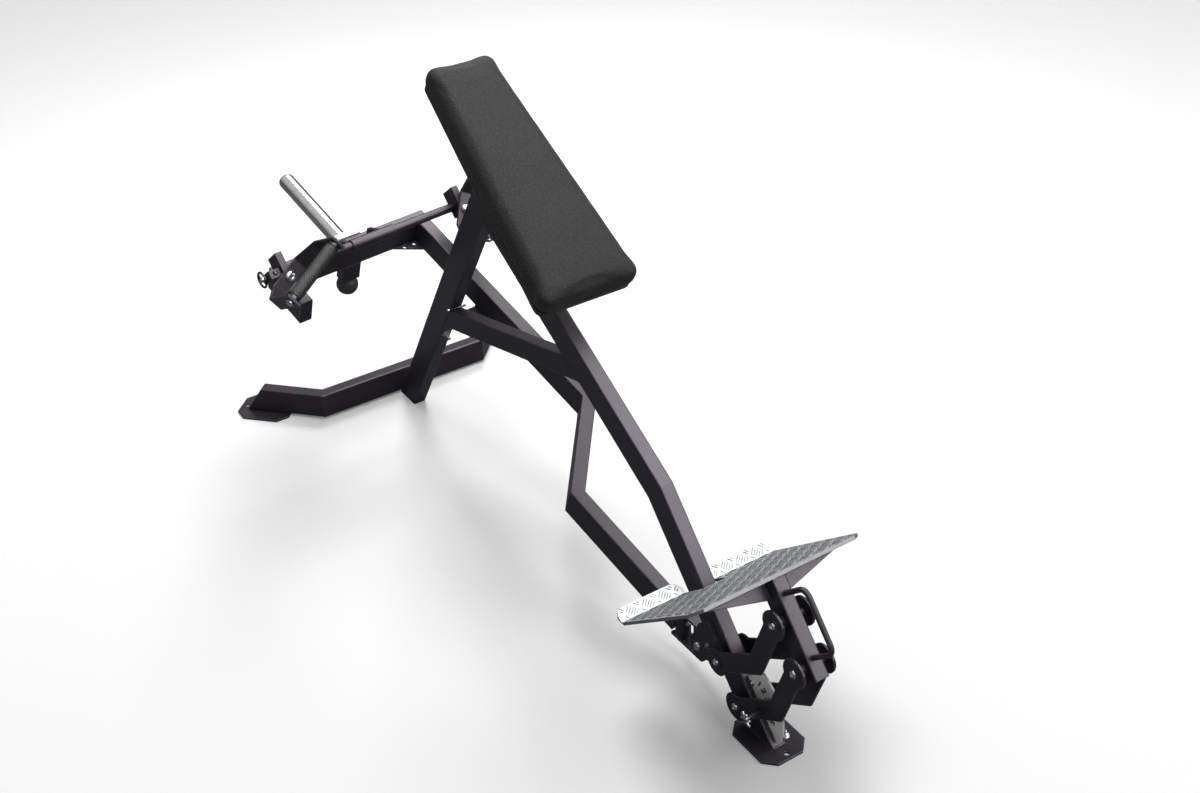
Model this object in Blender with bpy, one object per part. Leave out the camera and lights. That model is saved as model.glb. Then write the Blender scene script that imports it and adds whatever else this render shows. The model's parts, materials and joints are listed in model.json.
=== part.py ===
"""Chest supported t-bar row machine, built from separate pieces.

Units are metres.  +Z is up, +X runs to the rear where the user stands, +Y is to the
machine's far side.  The origin is on the floor under the rear foot plate, where the
main beam's top face meets that plate.
"""

import math

import bmesh
import bpy
from mathutils import Matrix, Vector
from mathutils.geometry import tessellate_polygon

# Clearances
GAP = 0.0003
BOLT_CLEARANCE = 0.0004
SLIDE_CLEARANCE = 0.0006
WELD_DEPTH = 0.0015

# Rectangular tube stock
TUBE_TALL = 0.080
TUBE_WIDE = 0.040
TUBE_WALL = 0.003
TUBE_CORNER = 0.004
SMALL_TUBE_TALL = 0.060

# Foot plates
FOOT_LENGTH = 0.170
FOOT_WIDTH = 0.134
FOOT_THICK = 0.006
FOOT_CHAMFER = 0.030
FOOT_HOLE_RADIUS = 0.007
FOOT_HOLE_INSET = 0.017

# Front cross base
BASE_LEG_LAP = 0.0057
BASE_STRAIGHT_HALF = 0.2705
WING_LENGTH = 0.216
WING_ANGLE = math.radians(45.6)
WING_END_SLOPE = math.radians(33.0)
WING_FOOT_ALONG = 0.215
WING_FOOT_ACROSS = 0.010

# Leg, beam and brace, seen from the side
LEG_FRONT_X = -1.8905
BASE_REAR_X = LEG_FRONT_X + BASE_LEG_LAP
LEG_LEAN = math.radians(31.3)
BEAM_LOW_ANGLE = math.radians(47.0)
BEAM_LOW_LENGTH = 0.678
BEAM_HIGH_ANGLE = math.radians(30.0)
BRACE_ANGLE = math.radians(15.1)
BRACE_FRONT_HEIGHT = 0.455
REAR_FOOT_BACK = 0.046
REAR_FOOT_HOLE_X = 0.030

# Chest pad
PAD_STANDOFF = 0.2065
PAD_REAR_BACK = 0.4527
PAD_TILT = math.radians(2.3)
PAD_LENGTH = 0.735
PAD_HEAD_WIDTH = 0.206
PAD_TAIL_WIDTH = 0.302
PAD_CUSHION_THICK = 0.060
PAD_BULGE = 0.004
PAD_DRAW_IN = 0.010
PAD_CROWN = 0.006
PAD_CORNER = 0.034
PAD_EDGE_ROUND = 0.018
BOARD_THICK = 0.015
BOARD_INSET = 0.011
PAD_PLATE_THICK = 0.006
PAD_PLATE_LENGTH = 0.150
PAD_PLATE_WIDTH = 0.110
STANDOFF_ALONG = 0.560
PAD_BOLT_RADIUS = 0.004
PAD_BOLT_SPACING = 0.110

# Lift pivot under the beam
LIFT_X = -0.290
LIFT_Z = 0.120
LUG_THICK = 0.0075
LUG_WELD = 0.0002
LUG_END_RADIUS = 0.032
LUG_FOOT_RISE = 0.050
LUG_HALF_LENGTH = 0.055
LIFT_BOLT_RADIUS = 0.008
BOLT_HEAD_HEIGHT = 0.006
LIFT_HEAD_RADIUS = 0.013

# Swivel
SWIVEL_X = -0.385
SWIVEL_Z = 0.1175
YOKE_PLATE_THICK = 0.008
YOKE_EYE_RADIUS = 0.020
YOKE_WIDTH = 0.050
SWIVEL_PIN_RADIUS = 0.010
SWIVEL_BOSS_RADIUS = 0.020
SWIVEL_BOSS_HEIGHT = 0.084
SWIVEL_HEAD_RADIUS = 0.016
BOSS_TRIM = 0.036

# Lever, in its own forward, right and up directions
LEVER_YAW = 0.1171
LEVER_PITCH = 0.3195
LEVER_BEND_START = 0.443
LEVER_BEND_END = 0.691
ARM_RIGHT = 0.2427
HEAD_FORWARD = 1.494
LEFT_ARM_LENGTH = 0.126
GUSSET_THICK = 0.006
GUSSET_UP = -0.035
GUSSET_ACROSS = 0.081
GUSSET_ALONG = 0.044
GUSSET_HOLE_RADIUS = 0.006
PEG_PLATE_HALF = 0.044
PEG_PLATE_THICK = 0.019
PEG_PLATE_CORNER = 0.006
PEG_RADIUS = 0.0245
PEG_LENGTH = 0.317
PEG_WALL = 0.004
STUB_ACROSS = 0.060
STUB_ALONG = 0.038
STUB_DROP = 0.060
BALL_RADIUS = 0.033
BALL_STEM_RADIUS = 0.010

# Handle carriage, in the lever's directions
ROD_FORWARD = 1.440
ROD_UP = 0.1095
ROD_RADIUS = 0.013
SLEEVE_RADIUS = 0.0175
SLEEVE_LEFT = 0.054
SLEEVE_RIGHT = 0.090
BRACKET_THICK = 0.012
BRACKET_LEFT = 0.040
BRACKET_RIGHT = 0.070
HANGER_RIGHT = 0.288
CARRIAGE_SHIFT = 0.011
HANGER_THICK = 0.020
HANGER_WIDTH = 0.060
HANGER_SLOPE = math.radians(31.3)
HANGER_REACH = 0.049
HANGER_OFFSET = 0.017
HANGER_TAIL = 0.020
CLAMP_ABOVE = 0.034
CLAMP_BELOW = 0.018
CLAMP_TOWARD_TOP = 0.012
CLAMP_TOWARD_END = 0.016
CLAMP_LENGTH = 0.034
RING_RADIUS = 0.0215
RING_WIRE = 0.0034
RING_PIN_RADIUS = 0.004
RING_NECK_RADIUS = 0.007
RING_OUT = 0.012

# Grips: a C-shaped band with a rubber grip across its open side
GRIP_AXIS_FORWARD = 1.392
GRIP_AXIS_UP = 0.138
GRIP_AXIS_TILT = math.radians(134.0)
BAND_WIDTH = 0.043
BAND_THICK = 0.008
BAND_FLAT_HALF = 0.050
BAND_CORNER = 0.052
GRIP_HALF = 0.102
GRIP_OUT = 0.155
BAND_REACH = 0.176
GRIP_RADIUS = 0.018
GRIP_ROD_RADIUS = 0.009
GRIP_HEAD_RADIUS = 0.0125
GRIP_HEAD_HEIGHT = 0.008
COLLAR_LENGTH = 0.010
COLLAR_RADIUS = 0.0175
BAND_BOLT_RADIUS = 0.016
BAND_BOLT_HEIGHT = 0.008
BAND_BOLT_SHANK = 0.006
BAND_BOLT_DEPTH = 0.030
LEFT_GRIP_TURN = math.radians(29.3)
RIGHT_GRIP_TURN = math.radians(120.0)

# Foot platform and its linkage, in the directions of the low part of the beam
LINK_LENGTH_UP = 0.3223
LINK_LENGTH_BACK = -0.0592
LINK_FIRST_ALONG = 0.4396
LINK_SPACING = 0.1155
LINK_PIVOT_DEPTH = 0.0385
LINK_THICK = 0.006
LINK_INNER = 0.0405
LINK_EYE_RADIUS = 0.037
LINK_BAR_WIDTH = 0.051
LINK_ELBOW_UP = 0.177
LINK_ELBOW_ALONG = 0.022
LINK_BOLT_RADIUS = 0.008
LINK_HEAD_RADIUS = 0.011
BUSH_WALL = 0.005
POST_DEPTH = 0.060
POST_PIVOT_DEPTH = 0.0316
POST_BELOW_PIVOT = 0.0345
POST_WIDE = 0.040

PLATFORM_FOLD_X = -0.3217
PLATFORM_FOLD_Z = 0.2802
PLATFORM_ANGLE = math.radians(40.5)
PLATFORM_LENGTH = 0.3823
PLATFORM_FRONT_HALF = 0.230
PLATFORM_REAR_HALF = 0.243
PLATFORM_THICK = 0.008
PLATFORM_CHAMFER = 0.028
PLATFORM_NOTCH_HALF = 0.044
PLATFORM_NOTCH_DEPTH = 0.074
FLAP_DEPTH = 0.0366
FLAP_ANGLE = math.radians(20.0)
FLAP_CORNER = 0.026
WING_PLATE_THICK = 0.006
WING_PLATE_HALF = 0.190
WING_PLATE_DROP = 0.048
WING_PLATE_TIP = 0.006
WING_PLATE_FALL = 0.0004
WING_SLOT_HALF = 0.0135
WING_SLOT_DEPTH = 0.007
WING_SLOT_NEAR = 0.071
WING_SLOT_FAR = 0.145

HANDLE_BAR_RADIUS = 0.007
HANDLE_TOP_ALONG = 0.050
HANDLE_BOTTOM_ALONG = 0.205
HANDLE_STAND = 0.085
HANDLE_BEND = 0.022

STRIP_BEND = 0.006

PLUNGER_RADIUS = 0.005
PLUNGER_BARREL_RADIUS = 0.009
PLUNGER_BARREL_LENGTH = 0.032
PLUNGER_HANDLE_HALF = 0.020
PLUNGER_HANDLE_RADIUS = 0.004
PLUNGER_TRAVEL = 0.007
PLUNGER_STANDOFF = 0.0005
SECTOR_THICK = 0.006
SECTOR_RADIUS = 0.125
SECTOR_HOLE_RADIUS = 0.111
SECTOR_LOW = math.radians(24.0)
SECTOR_HIGH = math.radians(117.0)
SECTOR_STEP = math.radians(8.0)
PLUNGER_ANGLE = math.radians(81.0)

# Rest for the lever on the leg
REST_FORWARD = 1.160
REST_LENGTH = 0.060
REST_PAD_THICK = 0.008
REST_SHELF_THICK = 0.008

# Surfaces
PALETTE = {
    "powder": ((0.055, 0.050, 0.060), 0.42, 0.35),
    "vinyl": ((0.055, 0.056, 0.058), 0.62, 0.0),
    "board": ((0.030, 0.030, 0.032), 0.70, 0.0),
    "chrome": ((0.82, 0.82, 0.84), 0.12, 1.0),
    "zinc": ((0.62, 0.62, 0.64), 0.30, 1.0),
    "tread": ((0.70, 0.71, 0.73), 0.32, 1.0),
    "rubber": ((0.060, 0.060, 0.058), 0.80, 0.0),
    "label": ((0.78, 0.78, 0.78), 0.45, 0.0),
}

Y_AXIS = Vector((0.0, 1.0, 0.0))
Z_AXIS = Vector((0.0, 0.0, 1.0))
SIDE_VIEW = Matrix(((1, 0, 0, 0), (0, 0, -1, 0), (0, 1, 0, 0), (0, 0, 0, 1)))
WORLD_OF = {}


# General helpers

def clear_scene():
    for item in list(bpy.data.objects):
        bpy.data.objects.remove(item, do_unlink=True)


def surface(name, kind):
    colour, roughness, metallic = PALETTE[kind]
    material = bpy.data.materials.new(name + "_surface")
    material.use_nodes = True
    shader = material.node_tree.nodes["Principled BSDF"]
    shader.inputs["Base Color"].default_value = (*colour, 1.0)
    shader.inputs["Roughness"].default_value = roughness
    shader.inputs["Metallic"].default_value = metallic
    material.diffuse_color = (*colour, 1.0)
    return material


def axes_matrix(origin, x_axis, z_axis):
    """A frame with its Z along z_axis and its X as near as it can be to x_axis."""
    z = Vector(z_axis).normalized()
    x = Vector(x_axis)
    x = (x - z * x.dot(z)).normalized()
    y = z.cross(x)
    matrix = Matrix((x, y, z)).transposed().to_4x4()
    matrix.translation = Vector(origin)
    return matrix


def pivot(name, matrix, parent=None):
    """An empty on a joint's axis."""
    empty = bpy.data.objects.new(name, None)
    empty.empty_display_size = 0.05
    bpy.context.scene.collection.objects.link(empty)
    attach(empty, matrix, parent)
    return empty


def attach(item, matrix, parent):
    WORLD_OF[item.name] = matrix
    if parent is None:
        item.matrix_world = matrix
        return
    item.parent = parent
    item.matrix_local = WORLD_OF[parent.name].inverted() @ matrix


def make_object(name, mesh_builder, matrix, kind, parent=None, smooth=False):
    """Turn a bmesh in local coordinates into a placed object with its surface."""
    bmesh.ops.recalc_face_normals(mesh_builder, faces=mesh_builder.faces)
    mesh = bpy.data.meshes.new(name)
    mesh_builder.to_mesh(mesh)
    mesh_builder.free()
    if smooth:
        mesh.shade_smooth()
        mesh.set_sharp_from_angle(angle=math.radians(35.0))
    item = bpy.data.objects.new(name, mesh)
    bpy.context.scene.collection.objects.link(item)
    attach(item, matrix, parent)
    mesh.materials.append(surface(name, kind))
    return item


def signed_area(loop):
    total = 0.0
    for (ax, ay), (bx, by) in zip(loop, loop[1:] + loop[:1]):
        total += ax * by - bx * ay
    return total / 2


def circle(u, v, radius, steps=16):
    turns = [2 * math.pi * i / steps for i in range(steps)]
    return [(u + radius * math.cos(a), v + radius * math.sin(a)) for a in turns]


def rounded_polygon(corners, radii, steps=4):
    """A polygon whose corners are arcs; a radius of 0 leaves a corner sharp."""
    outline = []
    count = len(corners)
    for i, corner in enumerate(corners):
        point = Vector(corner)
        radius = radii[i] if isinstance(radii, (list, tuple)) else radii
        if radius <= 0.0:
            outline.append(tuple(point))
            continue
        before = (Vector(corners[i - 1]) - point).normalized()
        after = (Vector(corners[(i + 1) % count]) - point).normalized()
        half = before.angle(after) / 2
        reach = radius / math.tan(half)
        centre = point + (before + after).normalized() * (radius / math.sin(half))
        start = point + before * reach - centre
        sweep = start.angle_signed(point + after * reach - centre)
        for k in range(steps + 1):
            turned = start.copy()
            turned.rotate(Matrix.Rotation(-sweep * k / steps, 2))
            outline.append(tuple(centre + turned))
    return outline


def rectangle(low_u, low_v, high_u, high_v):
    return [(low_u, low_v), (high_u, low_v), (high_u, high_v), (low_u, high_v)]


def rounded_section(in_plane, across, corner, steps=2):
    half_u = in_plane / 2
    half_v = across / 2
    corners = rectangle(-half_u, -half_v, half_u, half_v)
    return rounded_polygon(corners, corner, steps)


def prism_mesh(outer, holes, low, high):
    """A flat outline with holes, pulled from low to high along Z."""
    builder = bmesh.new()
    loops = []
    for index, loop in enumerate([outer] + list(holes)):
        forward = signed_area(loop) > 0
        wanted = index == 0
        loops.append(loop if forward == wanted else loop[::-1])
    flat = [point for loop in loops for point in loop]
    bottom = [builder.verts.new((u, v, low)) for u, v in flat]
    top = [builder.verts.new((u, v, high)) for u, v in flat]
    vectors = [[Vector((u, v, 0.0)) for u, v in loop] for loop in loops]
    for triangle in tessellate_polygon(vectors):
        builder.faces.new([bottom[i] for i in triangle])
        builder.faces.new([top[i] for i in reversed(triangle)])
    start = 0
    for loop in loops:
        count = len(loop)
        for i in range(count):
            a = start + i
            b = start + (i + 1) % count
            builder.faces.new((bottom[a], bottom[b], top[b], top[a]))
        start += count
    return builder


def prism(name, outer, low, high, matrix, kind, parent=None, holes=(), smooth=False):
    builder = prism_mesh(outer, holes, low, high)
    return make_object(name, builder, matrix, kind, parent, smooth)


def turned_mesh(profile, steps=24, hollow=False):
    """A solid of revolution about Z; each profile point is (radius, height)."""
    builder = bmesh.new()
    rings = []
    for radius, height in profile:
        if radius < 1e-6:
            rings.append([builder.verts.new((0.0, 0.0, height))])
            continue
        ring = []
        for i in range(steps):
            angle = 2 * math.pi * i / steps
            ring.append(builder.verts.new((radius * math.cos(angle), radius * math.sin(angle), height)))
        rings.append(ring)
    pairs = list(zip(rings, rings[1:]))
    if hollow:
        pairs.append((rings[-1], rings[0]))
    for lower, upper in pairs:
        for i in range(steps):
            j = (i + 1) % steps
            if len(lower) == 1:
                builder.faces.new((lower[0], upper[j], upper[i]))
            elif len(upper) == 1:
                builder.faces.new((lower[i], lower[j], upper[0]))
            else:
                builder.faces.new((lower[i], lower[j], upper[j], upper[i]))
    return builder


def turned(name, profile, matrix, kind, parent=None, steps=24, hollow=False):
    builder = turned_mesh(profile, steps, hollow)
    return make_object(name, builder, matrix, kind, parent, smooth=True)


def rounded_bar_profile(radius, low, high, edge):
    return [(0.0, low), (radius - edge, low), (radius, low + edge),
            (radius, high - edge), (radius - edge, high), (0.0, high)]


def dome_profile(radius, height, steps=5):
    """A low dome standing on height 0."""
    rim = height * 0.35
    points = [(0.0, 0.0), (radius, 0.0), (radius, rim)]
    for k in range(1, steps):
        angle = math.pi / 2 * k / steps
        points.append((radius * math.cos(angle), rim + (height - rim) * math.sin(angle)))
    points.append((0.0, height))
    return points


def section_loop(builder, point, direction, plane_normal, section, across_axis):
    """Vertices of a section slid along direction on to a cutting plane through point."""
    side = across_axis.cross(direction).normalized()
    loop = []
    for u, v in section:
        offset = side * u + across_axis * v
        slide = -offset.dot(plane_normal) / direction.dot(plane_normal)
        loop.append(builder.verts.new(point + offset + direction * slide))
    return loop


def join_loops(builder, first, second):
    count = len(first)
    for i in range(count):
        j = (i + 1) % count
        builder.faces.new((first[i], first[j], second[j], second[i]))


def box_tube_mesh(path, in_plane, across, wall, ends=(None, None), capped=(False, False)):
    """A mitred rectangular tube along a path in the local XY plane.

    in_plane is the section's size in that plane and across its size along local Z.
    ends gives the normal of each end cut, and capped closes an end with a wall.
    """
    builder = bmesh.new()
    points = [Vector((p[0], p[1], 0.0)) for p in path]
    runs = [(b - a).normalized() for a, b in zip(points, points[1:])]
    normals = [Vector(ends[0]) if ends[0] else runs[0]]
    for before, after in zip(runs, runs[1:]):
        normals.append((before + after).normalized())
    normals.append(Vector(ends[1]) if ends[1] else runs[-1])
    outer_section = rounded_section(in_plane, across, TUBE_CORNER)
    inner_corner = max(TUBE_CORNER - wall, 0.0008)
    inner_section = rounded_section(in_plane - 2 * wall, across - 2 * wall, inner_corner)
    shells = []
    for section, inset in ((outer_section, 0.0), (inner_section, wall)):
        loops = []
        for i, point in enumerate(points):
            run = runs[min(i, len(runs) - 1)]
            place = point.copy()
            if inset and i == 0 and capped[0]:
                place += run * inset / max(run.dot(normals[0].normalized()), 0.2)
            if inset and i == len(points) - 1 and capped[1]:
                place -= run * inset / max(run.dot(normals[-1].normalized()), 0.2)
            loops.append(section_loop(builder, place, run, normals[i], section, Z_AXIS))
        for first, second in zip(loops, loops[1:]):
            join_loops(builder, first, second)
        shells.append(loops)
    outer, inner = shells
    for at, closed in ((0, capped[0]), (-1, capped[1])):
        if closed:
            builder.faces.new(outer[at])
            builder.faces.new(inner[at])
        else:
            join_loops(builder, outer[at], inner[at])
    return builder


def box_tube(name, path, in_plane, across, matrix, parent=None, wall=TUBE_WALL,
             ends=(None, None), capped=(False, False)):
    builder = box_tube_mesh(path, in_plane, across, wall, ends, capped)
    return make_object(name, builder, matrix, "powder", parent, smooth=True)


def cutter(name, builder, matrix):
    """A hidden helper that a Boolean uses."""
    bmesh.ops.recalc_face_normals(builder, faces=builder.faces)
    mesh = bpy.data.meshes.new(name)
    builder.to_mesh(mesh)
    builder.free()
    helper = bpy.data.objects.new(name, mesh)
    bpy.context.scene.collection.objects.link(helper)
    helper.matrix_world = matrix
    helper.display_type = "WIRE"
    helper.hide_render = True
    WORLD_OF[name] = matrix
    return helper


def combine(item, helper, operation):
    change = item.modifiers.new(operation.lower() + "_" + helper.name, "BOOLEAN")
    change.operation = operation
    change.solver = "EXACT"
    change.object = helper


def cylinder_cutter(name, radius, low, high, matrix, steps=24):
    profile = [(0.0, low), (radius, low), (radius, high), (0.0, high)]
    return cutter(name, turned_mesh(profile, steps), matrix)


def offset_path(path, distance):
    """The path moved sideways to its left, with mitred corners."""
    points = [Vector(p) for p in path]
    runs = [(b - a).normalized() for a, b in zip(points, points[1:])]
    moved = []
    for i, point in enumerate(points):
        before = runs[max(i - 1, 0)]
        after = runs[min(i, len(runs) - 1)]
        left_before = Vector((-before.y, before.x))
        left_after = Vector((-after.y, after.x))
        mean = (left_before + left_after).normalized()
        moved.append(point + mean * distance / mean.dot(left_before))
    return moved


def strip_outline(path, thickness, bend=STRIP_BEND):
    """A bent strip of even thickness around a path, with rounded bends."""
    left = offset_path(path, thickness / 2)
    right = offset_path(path, -thickness / 2)
    corners = [tuple(p) for p in left] + [tuple(p) for p in reversed(right)]
    ends = (0, len(path) - 1, len(path), 2 * len(path) - 1)
    radii = [0.0 if i in ends else bend for i in range(len(corners))]
    return rounded_polygon(corners, radii, 2)


# Side view geometry of the frame

def along(angle, distance):
    return Vector((math.cos(angle), math.sin(angle))) * distance


FOOT_POINT = Vector((0.0, FOOT_THICK + GAP))
KNEE = FOOT_POINT + along(math.pi - BEAM_LOW_ANGLE, BEAM_LOW_LENGTH)
LOW_DIRECTION = along(-BEAM_LOW_ANGLE, 1.0)
LOW_NORMAL = along(math.pi / 2 - BEAM_LOW_ANGLE, 1.0)
HIGH_DIRECTION = along(math.pi - BEAM_HIGH_ANGLE, 1.0)
HIGH_NORMAL = along(math.pi / 2 - BEAM_HIGH_ANGLE, 1.0)
LEG_DIRECTION = along(math.pi / 2 - LEG_LEAN, 1.0)
LEG_REAR_NORMAL = along(-LEG_LEAN, 1.0)
LEG_FRONT_FOOT = Vector((LEG_FRONT_X, 0.0))
LEG_REAR_FOOT = LEG_FRONT_FOOT + Vector((TUBE_TALL / math.cos(LEG_LEAN), 0.0))


def meet(point_a, direction_a, point_b, direction_b):
    """Where two lines in the side view cross."""
    cross = direction_a.x * direction_b.y - direction_a.y * direction_b.x
    apart = point_b - point_a
    distance = (apart.x * direction_b.y - apart.y * direction_b.x) / cross
    return point_a + direction_a * distance


def side_point(point, y=0.0):
    return Vector((point.x, y, point.y))


def beam_point(distance, height, y=0.0):
    """A point by the low part of the beam: distance from the knee, height over its top face."""
    return side_point(KNEE + LOW_DIRECTION * distance + LOW_NORMAL * height, y)


PAD_DIRECTION = along(math.pi - BEAM_HIGH_ANGLE - PAD_TILT, 1.0)
PAD_NORMAL = along(math.pi / 2 - BEAM_HIGH_ANGLE - PAD_TILT, 1.0)
PAD_REAR = KNEE + HIGH_NORMAL * PAD_STANDOFF + HIGH_DIRECTION * PAD_REAR_BACK
PAD_FRONT = PAD_REAR + PAD_DIRECTION * PAD_LENGTH
PAD_UNDERSIDE = PAD_STANDOFF - PAD_CUSHION_THICK - BOARD_THICK


# Frame pieces

def octagon(length, width, chamfer, centre=(0.0, 0.0)):
    half_u = length / 2
    half_v = width / 2
    u, v = centre
    return [
        (u - half_u + chamfer, v - half_v), (u + half_u - chamfer, v - half_v),
        (u + half_u, v - half_v + chamfer), (u + half_u, v + half_v - chamfer),
        (u + half_u - chamfer, v + half_v), (u - half_u + chamfer, v + half_v),
        (u - half_u, v + half_v - chamfer), (u - half_u, v - half_v + chamfer),
    ]


def build_rear_foot():
    centre_x = REAR_FOOT_BACK - FOOT_LENGTH / 2
    outline = octagon(FOOT_LENGTH, FOOT_WIDTH, FOOT_CHAMFER, (centre_x, 0.0))
    hole = circle(REAR_FOOT_HOLE_X, 0.0, FOOT_HOLE_RADIUS)
    prism("foot_plate_rear", outline, 0.0, FOOT_THICK, Matrix(), "powder", holes=(hole,))


def wing_frame(side):
    """Origin at the wing's rear bend, X along the wing, Z up."""
    direction = Vector((-math.sin(WING_ANGLE), side * math.cos(WING_ANGLE), 0.0))
    origin = (BASE_REAR_X, side * BASE_STRAIGHT_HALF, 0.0)
    return axes_matrix(origin, direction, Z_AXIS)


def build_front_base():
    """The floor tube: a straight run and two wings bent forward, all in one mitred tube."""
    base_z = FOOT_THICK + GAP + TUBE_TALL / 2
    half = TUBE_WIDE / 2
    bend_shift = half * math.tan(WING_ANGLE / 2)
    centre_x = BASE_REAR_X - half
    bend_y = BASE_STRAIGHT_HALF + bend_shift
    reach = WING_LENGTH + bend_shift
    tip_x = centre_x - reach * math.sin(WING_ANGLE)
    tip_y = bend_y + reach * math.cos(WING_ANGLE)
    path = [(tip_x, -tip_y), (centre_x, -bend_y), (centre_x, bend_y), (tip_x, tip_y)]
    lean = math.sin(WING_END_SLOPE)
    flat = math.cos(WING_END_SLOPE)
    first = (math.sin(WING_ANGLE) * flat, math.cos(WING_ANGLE) * flat, -lean)
    last = (-math.sin(WING_ANGLE) * flat, math.cos(WING_ANGLE) * flat, lean)
    base = box_tube("front_base", path, TUBE_WIDE, TUBE_TALL, Matrix.Translation((0, 0, base_z)),
                    ends=(first, last), capped=(True, True))
    vent = cylinder_cutter("base_vent_cutter", 0.004, -0.02, 0.02,
                           Matrix.Translation((centre_x, 0.0, FOOT_THICK)), 12)
    combine(base, vent, "DIFFERENCE")
    for side, name in ((-1, "near"), (1, "far")):
        frame = wing_frame(side)
        centre = (WING_FOOT_ALONG, side * (half - WING_FOOT_ACROSS))
        outline = octagon(FOOT_LENGTH, FOOT_WIDTH, FOOT_CHAMFER, centre)
        hole_along = WING_FOOT_ALONG + FOOT_LENGTH / 2 - FOOT_HOLE_INSET
        hole = circle(hole_along, centre[1], FOOT_HOLE_RADIUS)
        prism("foot_plate_" + name, outline, 0.0, FOOT_THICK, frame, "powder", holes=(hole,))


def build_leg():
    """The leaning leg, from the floor to the plate under the pad."""
    middle_foot = LEG_FRONT_FOOT.lerp(LEG_REAR_FOOT, 0.5) + Vector((GAP, 0.0))
    below = PAD_STANDOFF - PAD_UNDERSIDE + PAD_PLATE_THICK + 2 * GAP
    top = meet(middle_foot, LEG_DIRECTION, PAD_FRONT - PAD_NORMAL * below, PAD_DIRECTION)
    cut = (PAD_NORMAL.x, PAD_NORMAL.y, 0.0)
    box_tube("front_leg", [middle_foot, top], TUBE_TALL, TUBE_WIDE, SIDE_VIEW,
             ends=((0.0, 1.0, 0.0), cut))


def build_beam():
    """The bent main beam, with the two pivot bushes of the linkage welded through it."""
    low_centre = -LOW_NORMAL * (TUBE_TALL / 2)
    high_centre = -HIGH_NORMAL * (TUBE_TALL / 2)
    knee_centre = meet(KNEE + low_centre, LOW_DIRECTION, KNEE + high_centre, HIGH_DIRECTION)
    foot = meet(knee_centre, LOW_DIRECTION, FOOT_POINT, Vector((1.0, 0.0)))
    rear_face = LEG_REAR_FOOT + LEG_REAR_NORMAL * 2 * GAP
    head = meet(knee_centre, HIGH_DIRECTION, rear_face, LEG_DIRECTION)
    cut = (LEG_REAR_NORMAL.x, LEG_REAR_NORMAL.y, 0.0)
    beam = box_tube("main_beam", [foot, knee_centre, head], TUBE_TALL, TUBE_WIDE, SIDE_VIEW,
                    ends=((0.0, 1.0, 0.0), cut))
    add_pivot_lugs(beam)
    add_bushes(beam, "beam_bush", (LINK_PIVOTS["lower_upper"], LINK_PIVOTS["lower_lower"]))


def add_bushes(item, name, places):
    """Weld cross tubes through a piece and bore them for their bolts."""
    bore = LINK_BOLT_RADIUS + BOLT_CLEARANCE
    half = LINK_INNER - GAP
    frames = [axes_matrix(place, (1, 0, 0), Y_AXIS) for place in places]
    for number, frame in enumerate(frames):
        body = cylinder_cutter("%s_body_%d" % (name, number), bore + BUSH_WALL, -half, half, frame)
        combine(item, body, "UNION")
    for number, frame in enumerate(frames):
        hole = cylinder_cutter("%s_bore_%d" % (name, number), bore, -half - 0.01, half + 0.01, frame)
        combine(item, hole, "DIFFERENCE")


def build_brace():
    """The low brace from the leg's rear face to the beam's underside."""
    direction = along(BRACE_ANGLE, 1.0)
    front_height = Vector((LEG_REAR_FOOT.x + BRACE_FRONT_HEIGHT * math.tan(LEG_LEAN), BRACE_FRONT_HEIGHT))
    rear_face = LEG_REAR_FOOT + LEG_REAR_NORMAL * 2 * GAP
    front = meet(front_height, direction, rear_face, LEG_DIRECTION)
    underside = KNEE - HIGH_NORMAL * (TUBE_TALL + GAP)
    rear = meet(front, direction, underside, HIGH_DIRECTION)
    leg_cut = (LEG_REAR_NORMAL.x, LEG_REAR_NORMAL.y, 0.0)
    beam_cut = (HIGH_NORMAL.x, HIGH_NORMAL.y, 0.0)
    box_tube("brace", [front, rear], SMALL_TUBE_TALL, TUBE_WIDE, SIDE_VIEW, ends=(leg_cut, beam_cut))


# Chest pad

def pad_frame(height):
    """Origin at the pad's front edge, X down the pad to the rear, Z out of the pad."""
    origin = PAD_FRONT + PAD_NORMAL * (height - PAD_STANDOFF)
    return axes_matrix(side_point(origin), side_point(-PAD_DIRECTION), side_point(PAD_NORMAL))


def pad_outline(inset, steps):
    """The pad's tapered shape with rounded corners, moved inwards by inset."""
    head = PAD_HEAD_WIDTH / 2 - inset
    tail = PAD_TAIL_WIDTH / 2 - inset
    corners = [(inset, -head), (PAD_LENGTH - inset, -tail), (PAD_LENGTH - inset, tail), (inset, head)]
    return rounded_polygon(corners, max(PAD_CORNER - inset, 0.010), steps)


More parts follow.
